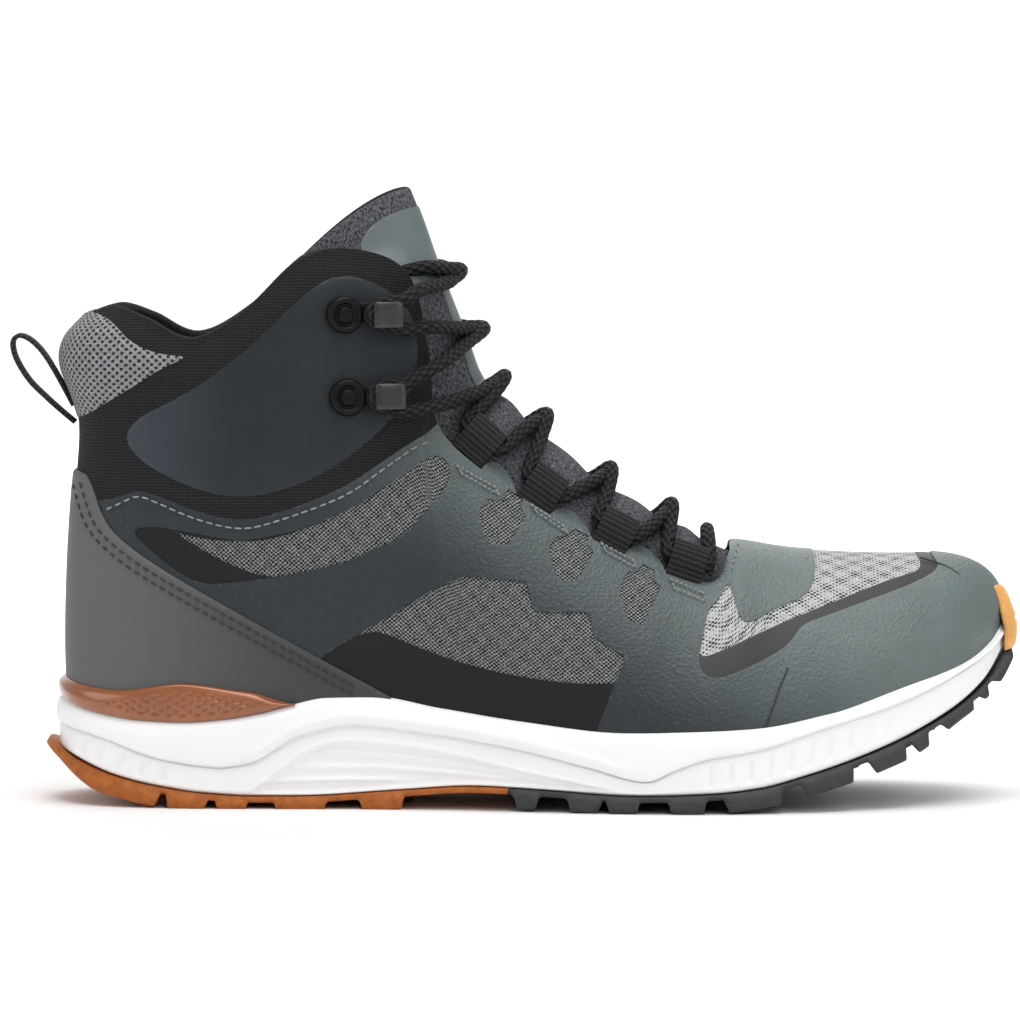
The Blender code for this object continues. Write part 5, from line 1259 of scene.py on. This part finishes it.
def seat(x, z, side):
    # point of the last at a place seen from one side, and its outward normal: nearest rib point, then one
    # linear step
    count = len(coarse["plan"])
    half = np.arange(1, coarse["tip"]) if side == lateral else np.arange(count - 1, coarse["tip"], -1)
    points = coarseRibs[half]
    far = (points[..., 0] - x) ** 2 + (points[..., 2] - z) ** 2
    k, j = np.unravel_index(np.argmin(far[1:-1, 1:-1]), far[1:-1, 1:-1].shape)
    k, j = k + 1, j + 1
    steps = 0.5 * np.stack([points[k + 1, j] - points[k - 1, j], points[k, j + 1] - points[k, j - 1]])
    share = np.linalg.solve(steps[:, [0, 2]].T, np.array([x, z]) - points[k, j, [0, 2]])
    normal = unit(np.cross(steps[0], steps[1]))
    return points[k, j] + share @ steps, normal if normal[1] * side > 0 else -normal


def hookFrame(place, side):
    # a hook's foot, and its directions forward, up and out
    point, out = seat(*place, side)
    forward = unit(np.cross(out, np.array([0, 0, 1.0])))
    forward = forward if forward[0] > 0 else -forward
    up = unit(np.cross(forward, out))
    up = up if up[2] > 0 else -up
    return point + out * hooks["seat"], forward, up, out


def aroundHook(number, side):
    # over the throat's edge, around the hook's stem from below and back over the edge
    foot, forward, up, out = hookFrame(hooks["places"][number], side)
    middle = hooks["thick"] + lace["radius"] + hooks["clear"]
    points = [foot + forward * f + up * u + out * middle for f, u in hooks["turn"]]
    over = [top + normal * (lace["radius"] + hooks["edgeLift"])
            for top, normal in (throatEdge(at, side) for at in hooks["edges"][number])]
    return [over[0]] + points + [over[1]]


def lacePath(firstSide):
    # from the inner front loop over the crossings and hooks to the hidden end under the top; at each crossing
    # one half runs over the other
    def through(row, side):
        # along the inside of a loop
        middle, ahead = loopFrame(row, side)[:2]
        near, far = lace["inLoop"]
        return [middle + ahead * run for run in (-far, -near, near, far)]

    def over(row, side, high):
        # across the tongue's middle, above the other half or under it
        low = lace["lift"] + lace["clear"]
        lift = low + (lace["over"] if high else 0.0)
        return [tonguePoint(row - 0.1, side * lace["beside"], low), tonguePoint(row, 0.0, lift),
                tonguePoint(row + 0.1, -side * lace["beside"], low)]

    middle = loopFrame(loop["rows"][0], medial)[0]
    start = through(loop["rows"][0], medial)
    if firstSide == lateral:
        lift = lace["lift"] + lace["barClear"]
        bar = [tonguePoint(lace["bar"], side * lace["barSide"], lift) for side in (medial, 0.0, lateral)]
        path = [middle, start[0]] + bar + through(loop["rows"][0], lateral)
    else:
        path = [middle, start[3]]
    side = firstSide
    stops = [through(row, -side * (-1) ** number) for number, row in enumerate(loop["rows"][1:])]
    stops += [aroundHook(number, side * (-1) ** number) for number in range(len(hooks["places"]))]
    for number, (crossing, stop) in enumerate(zip(lace["rows"], stops)):
        path += over(crossing, side, (number % 2 == 0) == (firstSide == lateral)) + stop
        side = -side
    low = lace["lift"] - lace["clear"]
    tuck = [(0.18, 0.72, low), (0.25, 0.98, -0.6), (0.3, 1.1, -2.2)]
    path += over(lace["end"], side, firstSide == lateral)
    path += [tonguePoint(lace["end"] + ahead, -side * across, lift) for ahead, across, lift in tuck]
    return openSpline(np.array(path), lace["steps"])


laceNodes = {"lateral": ["lace"], "medial": []}
for word, side in bothSides.items():
    path = lacePath(side)
    braid = (lace["strands"], lace["pitch"], lace["swell"])
    sections, marks = roundSections(path, lace["radius"], lace["sides"], *braid)
    settle(sweep("lace_%s_half" % word, sections, [looks["cord"]], marks), "black_cord", *laceNodes[word])
    print("lace,", word, "half:", round(arcLength(path)[-1]), "mm")


strapEdge = {"points": 28, "flat": 0.35, "round": 0.6}  # points around a strap and its superellipse's powers


def strapSections(path, sideways, thick, width):
    # flat strap with rounded edges: a superellipse across the path, wide along one direction
    ahead = unit(np.gradient(path, axis=0))
    across = np.broadcast_to(unit(sideways), ahead.shape)
    out = unit(np.cross(across, ahead))
    turn = np.arange(strapEdge["points"]) / strapEdge["points"] * math.tau
    flat = np.sign(np.cos(turn)) * np.abs(np.cos(turn)) ** strapEdge["flat"] * width / 2
    high = np.sign(np.sin(turn)) * np.abs(np.sin(turn)) ** strapEdge["round"] * thick / 2
    length = arcLength(path)
    marks = np.stack(np.broadcast_arrays(flat[None], length[:, None], 0.0), axis=-1)
    sections = path[:, None] + across[:, None] * flat[None, :, None] + out[:, None] * high[None, :, None]
    return sections, marks.reshape(-1, 3)


loopPath = [(-7.4, -2.9), (-5.0, -2.5), (-1.5, -2.75), (1.6, -2.75), (3.4, -2.0), (4.1, 0.0), (3.4, 2.0),
            (1.6, 2.75), (-1.2, 2.6), (-3.6, 1.4), (-5.4, -0.4), (-7.6, -1.7)]  # up and out, around the lace
for word, side in bothSides.items():
    for number, row in enumerate(loop["rows"], start=1):
        middle, ahead, up, out = loopFrame(row, side)
        path = openSpline(np.array([middle + (up * u + out * o) * loop["grow"] for u, o in loopPath]), 5)
        sections, marks = strapSections(path, ahead, loop["strap"], loop["width"])
        name = "lace_loop_%s_%d" % (word, number)
        settle(sweep(name + "_strap", sections, [looks["webbing"]], marks), "black_webbing", name)

pullStrap = {"thick": 1.4, "width": 10.0}
pullPath = [(8.3, 122.6), (2.6, 133.2), (-1.4, 139.4), (-5.0, 143.0), (-8.2, 144.4), (-10.2, 143.4),
            (-10.6, 140.8), (-9.2, 136.4), (-5.4, 130.4), (0.2, 124.8), (5.0, 120.5), (8.7, 117.4)]
path = openSpline(np.array([(x, 0.0, z) for x, z in pullPath]), 8)
sections, marks = strapSections(path, np.array([0.0, 1.0, 0.0]), pullStrap["thick"], pullStrap["width"])
settle(sweep("pull_loop_strap", sections, [looks["webbing"]], marks), "black_webbing", "pull_loop")
print("lace and webbing done")

hookDisc = [(0.0, 2.3), (1.6, 2.35), (2.3, 2.1), (2.8, 1.5), (3.3, 1.5), (3.9, 2.3), (4.7, 2.5),
            (5.4, 2.1), (5.8, 1.2), (5.8, 0.0), (5.6, -1.2)]  # radius and height of the turned base
hookNeck = [(1.5, 1.4), (5.0, 1.3), (8.6, 1.5), (10.6, 2.5), (11.3, 4.4), (11.4, 6.6)]
hookPlate = [(8.0, 6.5), (8.8, 7.0), (11.0, 7.3), (13.4, 7.3), (15.6, 7.0), (16.6, 6.4)]


hookStrips = [("_neck", hookNeck, 7.4, "hookBase"), ("_plate", hookPlate, 8.0,
                                                     "hookPlate")]  # with width and look
hookStripThick = 1.2


def buildHook(name, frameAt):
    # base turned from a profile, a neck that rises from it, and a plate that bends forward over the lace
    foot, forward, up, out = frameAt
    profile = openSpline(np.array(hookDisc), 3)
    turn = np.arange(hooks["around"]) / hooks["around"] * math.tau
    ring = forward * np.cos(turn)[:, None] + up * np.sin(turn)[:, None]
    points = foot + ring[:, None] * profile[None, :, :1] + out * profile[None, :, 1:]
    quads = gridFaces(hooks["around"], len(profile), True)
    flip = np.dot(np.cross(forward, up), out) < 0
    made = [putMesh(name + "_base", points, quads if flip else quads[:, ::-1],
                    [looks["hookBase"]], weld=0.005)]
    for word, line, width, look in hookStrips:
        path = openSpline(np.array([foot + forward * f + out * o for f, o in line]), 6)
        sections, marks = strapSections(path, up, hookStripThick, width)
        made.append(sweep(name + word, sections, [looks[look]], marks))
    return made


for word, side in bothSides.items():
    for number, place in enumerate(hooks["places"], start=1):
        name = "hook_%s_%d" % (word, number)
        base, *strips = buildHook(name, hookFrame(place, side))
        settle(base, "black_metal", name)
        for strip in strips:
            settle(strip, "black_metal")
print("hooks done")

# Stitches
stitch = {"length": 2.3, "pitch": 3.0, "radius": 0.3, "barLength": 1.2, "barPitch": 1.6, "barWide": 2.6}


def onSkin(places, side, lift):
    # skin point at each place seen from one side: nearest grid point, then one linear step along the grid
    half = len(skinPoints) // 2
    columns = np.arange(2, half - 2) if side == lateral else np.arange(len(skinPoints) - 2, half + 2, -1)
    points, normals = skinPoints[columns], skinNormals[columns]
    acrossStep, upStep = np.gradient(points, axis=0), np.gradient(points, axis=1)
    found = []
    for x, z in places:
        far = (points[..., 0] - x) ** 2 + (points[..., 2] - z) ** 2
        k, j = np.unravel_index(np.argmin(far), far.shape)
        square = np.array([[acrossStep[k, j, 0], upStep[k, j, 0]], [acrossStep[k, j, 2], upStep[k, j, 2]]])
        share = np.clip(np.linalg.solve(square, [x - points[k, j, 0], z - points[k, j, 2]]), -1, 1)
        step = acrossStep[k, j] * share[0] + upStep[k, j] * share[1]
        found.append(points[k, j] + step + normals[k, j] * lift)
    return np.array(found)


def evenPoints(line, pitch):
    # points a pitch apart along the line
    line = np.asarray(line, float)
    length = arcLength(line)
    at = np.arange(0.0, length[-1], pitch)
    return np.stack([np.interp(at, length, line[:, i]) for i in range(2)], axis=-1)


def shifted(line, inset):
    # line moved sideways in the side view, to its right hand
    line = openSpline(np.asarray(line, float), 4)
    ahead = unit(np.gradient(line, axis=0))
    return line + np.stack([ahead[:, 1], -ahead[:, 0]], axis=-1) * inset


def threadPiece(name, starts, ends, look):
    # each stitch is a spindle of six sides between its two ends, round at both of them
    share = np.array([0.0, 0.12, 0.35, 0.65, 0.88, 1.0])
    swell = np.array([0.25, 0.8, 1.0, 1.0, 0.8, 0.25]) * stitch["radius"]
    ahead = unit(ends - starts)
    across = unit(np.cross(ahead, np.array([0.3, 1.0, 0.2])))
    other = np.cross(ahead, across)
    turn = np.arange(6) / 6 * math.tau
    circle = across[:, None] * np.cos(turn)[None, :, None] + other[:, None] * np.sin(turn)[None, :, None]
    centre = starts[:, None] * (1 - share)[None, :, None] + ends[:, None] * share[None, :, None]
    points = centre[:, :, None] + circle[:, None] * swell[None, :, None, None]
    caps = np.array([(3, 2, 1, 0), (5, 4, 3, 0), (30, 31, 32, 33), (30, 33, 34, 35)])
    quads = np.concatenate([tubeQuads(6, 6), caps])
    faces = (np.arange(len(starts)) * 36)[:, None, None] + quads[None]
    return putMesh(name, points, faces.reshape(-1, 4), [look])


def stitchRow(lines, lift, pitch, length):
    # starts and ends of stitches along the lines, on both sides of the shoe
    starts, ends = [], []
    for line in lines:
        for side in (lateral, medial):
            middle = onSkin(evenPoints(line, pitch), side, lift)
            ahead = unit(np.gradient(middle, axis=0))
            starts.append(middle - ahead * length / 2)
            ends.append(middle + ahead * length / 2)
    return np.concatenate(starts), np.concatenate(ends)


counterEdge = [(15, 99), (19, 88), (26, 81), (38, 73), (64, 58.3), (89, 44.5), (99, 39.1)]
bandEdge = [(20.5, 93.6), (29.5, 97.6), (35.5, 96.2), (48.5, 91.0), (61, 88.3), (72, 90.4), (92, 97.8),
            (103, 105.1), (113, 111.8), (118, 114.6)]
bars = [((193.9, 69.1), (203.7, 65.1)), ((172.4, 80.4), (181.9, 75.2)), ((150.9, 92.4), (160.4, 86.0)),
        ((128.1, 104.7), (139.2, 98.3))]
barLines = []
for start, end in bars:
    start, end = np.array(start), np.array(end)
    drop = -unit(end - start)[::-1] * stitch["barWide"]
    barLines += [[start, end], [start + drop, end + drop], [start, start + drop], [end, end + drop]]
# dark lines on the toe cap: the first runs along its back edge and is a painted shadow under the nearly flush
# film edge; the second runs forward from the toe window's front tip
toeDarkLines = [[(222.4, 25.5), (224.6, 31.5), (227.1, 38), (229.6, 43.5)],
            [(273, 74.0), (277, 72.9), (281.5, 71.2), (284.6, 69.0)]]
throatFront = [[(215.4, 78.6), (214.2, 75.4), (213.2, 72.0)]]
stitchPieces = [  # name, lines, lift over the skin, pitch, length, look and slot
    ("counter_stitches", [shifted(counterEdge, inset) for inset in (2.3, 4.8)], 1.95, stitch["pitch"],
     stitch["length"], "darkThread", "grey_film"),
    ("band_stitches", [shifted(bandEdge, 1.9)], 1.25, stitch["pitch"], stitch["length"],
     "thread", "slate_film"),
    ("bartack_stitches", barLines, 1.25, stitch["barPitch"], stitch["barLength"], "thread", "slate_film"),
    ("toe_dark_lines", [openSpline(np.array(line), 4) for line in toeDarkLines], 0.8, 1.0, 1.5, "seam", "slate_film"),
    ("throat_stitches", throatFront, 1.0, stitch["barPitch"], stitch["barLength"], "thread", "slate_film"),
]
for name, lines, lift, pitch, length, look, slot in stitchPieces:
    settle(threadPiece(name, *stitchRow(lines, lift, pitch, length), looks[look]), slot)
print("stitches done")

# Stage, light and camera
floor = {"width": 9.0, "front": -4.0, "back": 3.0, "bend": 1.2, "height": 4.0}


def buildFloor():
    # profile of floor, quarter bend and wall, carried from left to right
    turn = np.linspace(0.0, math.pi / 2, 24)
    bend = np.column_stack([floor["back"] + floor["bend"] * np.sin(turn), floor["bend"] * (1 - np.cos(turn))])
    line = np.concatenate([[(floor["front"], 0.0)], bend, [(floor["back"] + floor["bend"], floor["height"])]])
    ends = (-floor["width"] / 2, floor["width"] / 2)
    points = np.stack([np.column_stack([np.full(len(line), x), line]) for x in ends])
    made, tree, shader = startMaterial("pale studio paper", 0.7)
    shader.inputs["Base Color"].default_value = linear("#f4f4f4")
    return putMesh("studio_floor", points / mm + shoeOrigin, gridFaces(2, len(line), False), [made])


buildFloor()
lights = {  # place, target, size, power and colour of each soft box
    "top": ((0.1, -0.3, 1.7), (0, 0, 0.09), 1.6, 22.0, "#ffffff"),
    "front": ((0.5, -2.0, 1.3), (0, 0, 0.09), 1.2, 7.2, "#ffffff"),
    "toe": ((1.7, -0.7, 0.8), (0, 0, 0.09), 1.0, 5.0, "#ffffff"),
    "heel": ((-1.6, -0.5, 0.7), (0, 0, 0.09), 1.0, 4.0, "#ffffff"),
    "back": ((0.0, 1.6, 1.4), (0, 0, 0.09), 1.6, 8.0, "#ffffff"),
    "backdrop": ((0.0, 1.3, 2.0), (0.0, 4.0, 0.1), 2.5, 70.0, "#ffffff"),
}
target = np.array([-0.0016, 0.0024, 0.0898])


def aim(made, place, at):
    # local -Z towards the target, local Y up
    back = unit(np.asarray(place, float) - at)
    right = unit(np.cross(np.array([0, 0, 1.0]), back))
    top = np.cross(back, right)
    grid = np.eye(4)
    grid[:3, 0], grid[:3, 1], grid[:3, 2], grid[:3, 3] = right, top, back, place
    made.matrix_world = Matrix(grid.tolist())


for name, (place, spot, size, power, code) in lights.items():
    data = bpy.data.lights.new("soft box " + name, "AREA")
    data.shape = "DISK"
    data.size = size
    data.energy = power
    data.color = linear(code)[:3]
    lamp = bpy.data.objects.new("soft box " + name, data)
    bpy.context.scene.collection.objects.link(lamp)
    aim(lamp, place, np.array(spot))
world = bpy.data.worlds.new("white room")
world.use_nodes = True
world.node_tree.nodes["Background"].inputs["Color"].default_value = (1.0, 1.0, 1.0, 1.0)
world.node_tree.nodes["Background"].inputs["Strength"].default_value = 0.4
bpy.context.scene.world = world
bpy.context.scene.view_settings.view_transform = "Standard"

cameraSetting = {"elevation": 3.6, "distance": 2.2, "lens": 36.0 * 7040 / 1020}
cameraData = bpy.data.cameras.new("photo camera")
cameraData.sensor_width = 36.0
cameraData.lens = cameraSetting["lens"]
cameraData.clip_end = 50.0
camera = bpy.data.objects.new("photo camera", cameraData)
bpy.context.scene.collection.objects.link(camera)
lean = math.radians(cameraSetting["elevation"])
aim(camera, target + cameraSetting["distance"] * np.array([0.0, -math.cos(lean), math.sin(lean)]), target)
bpy.context.scene.camera = camera
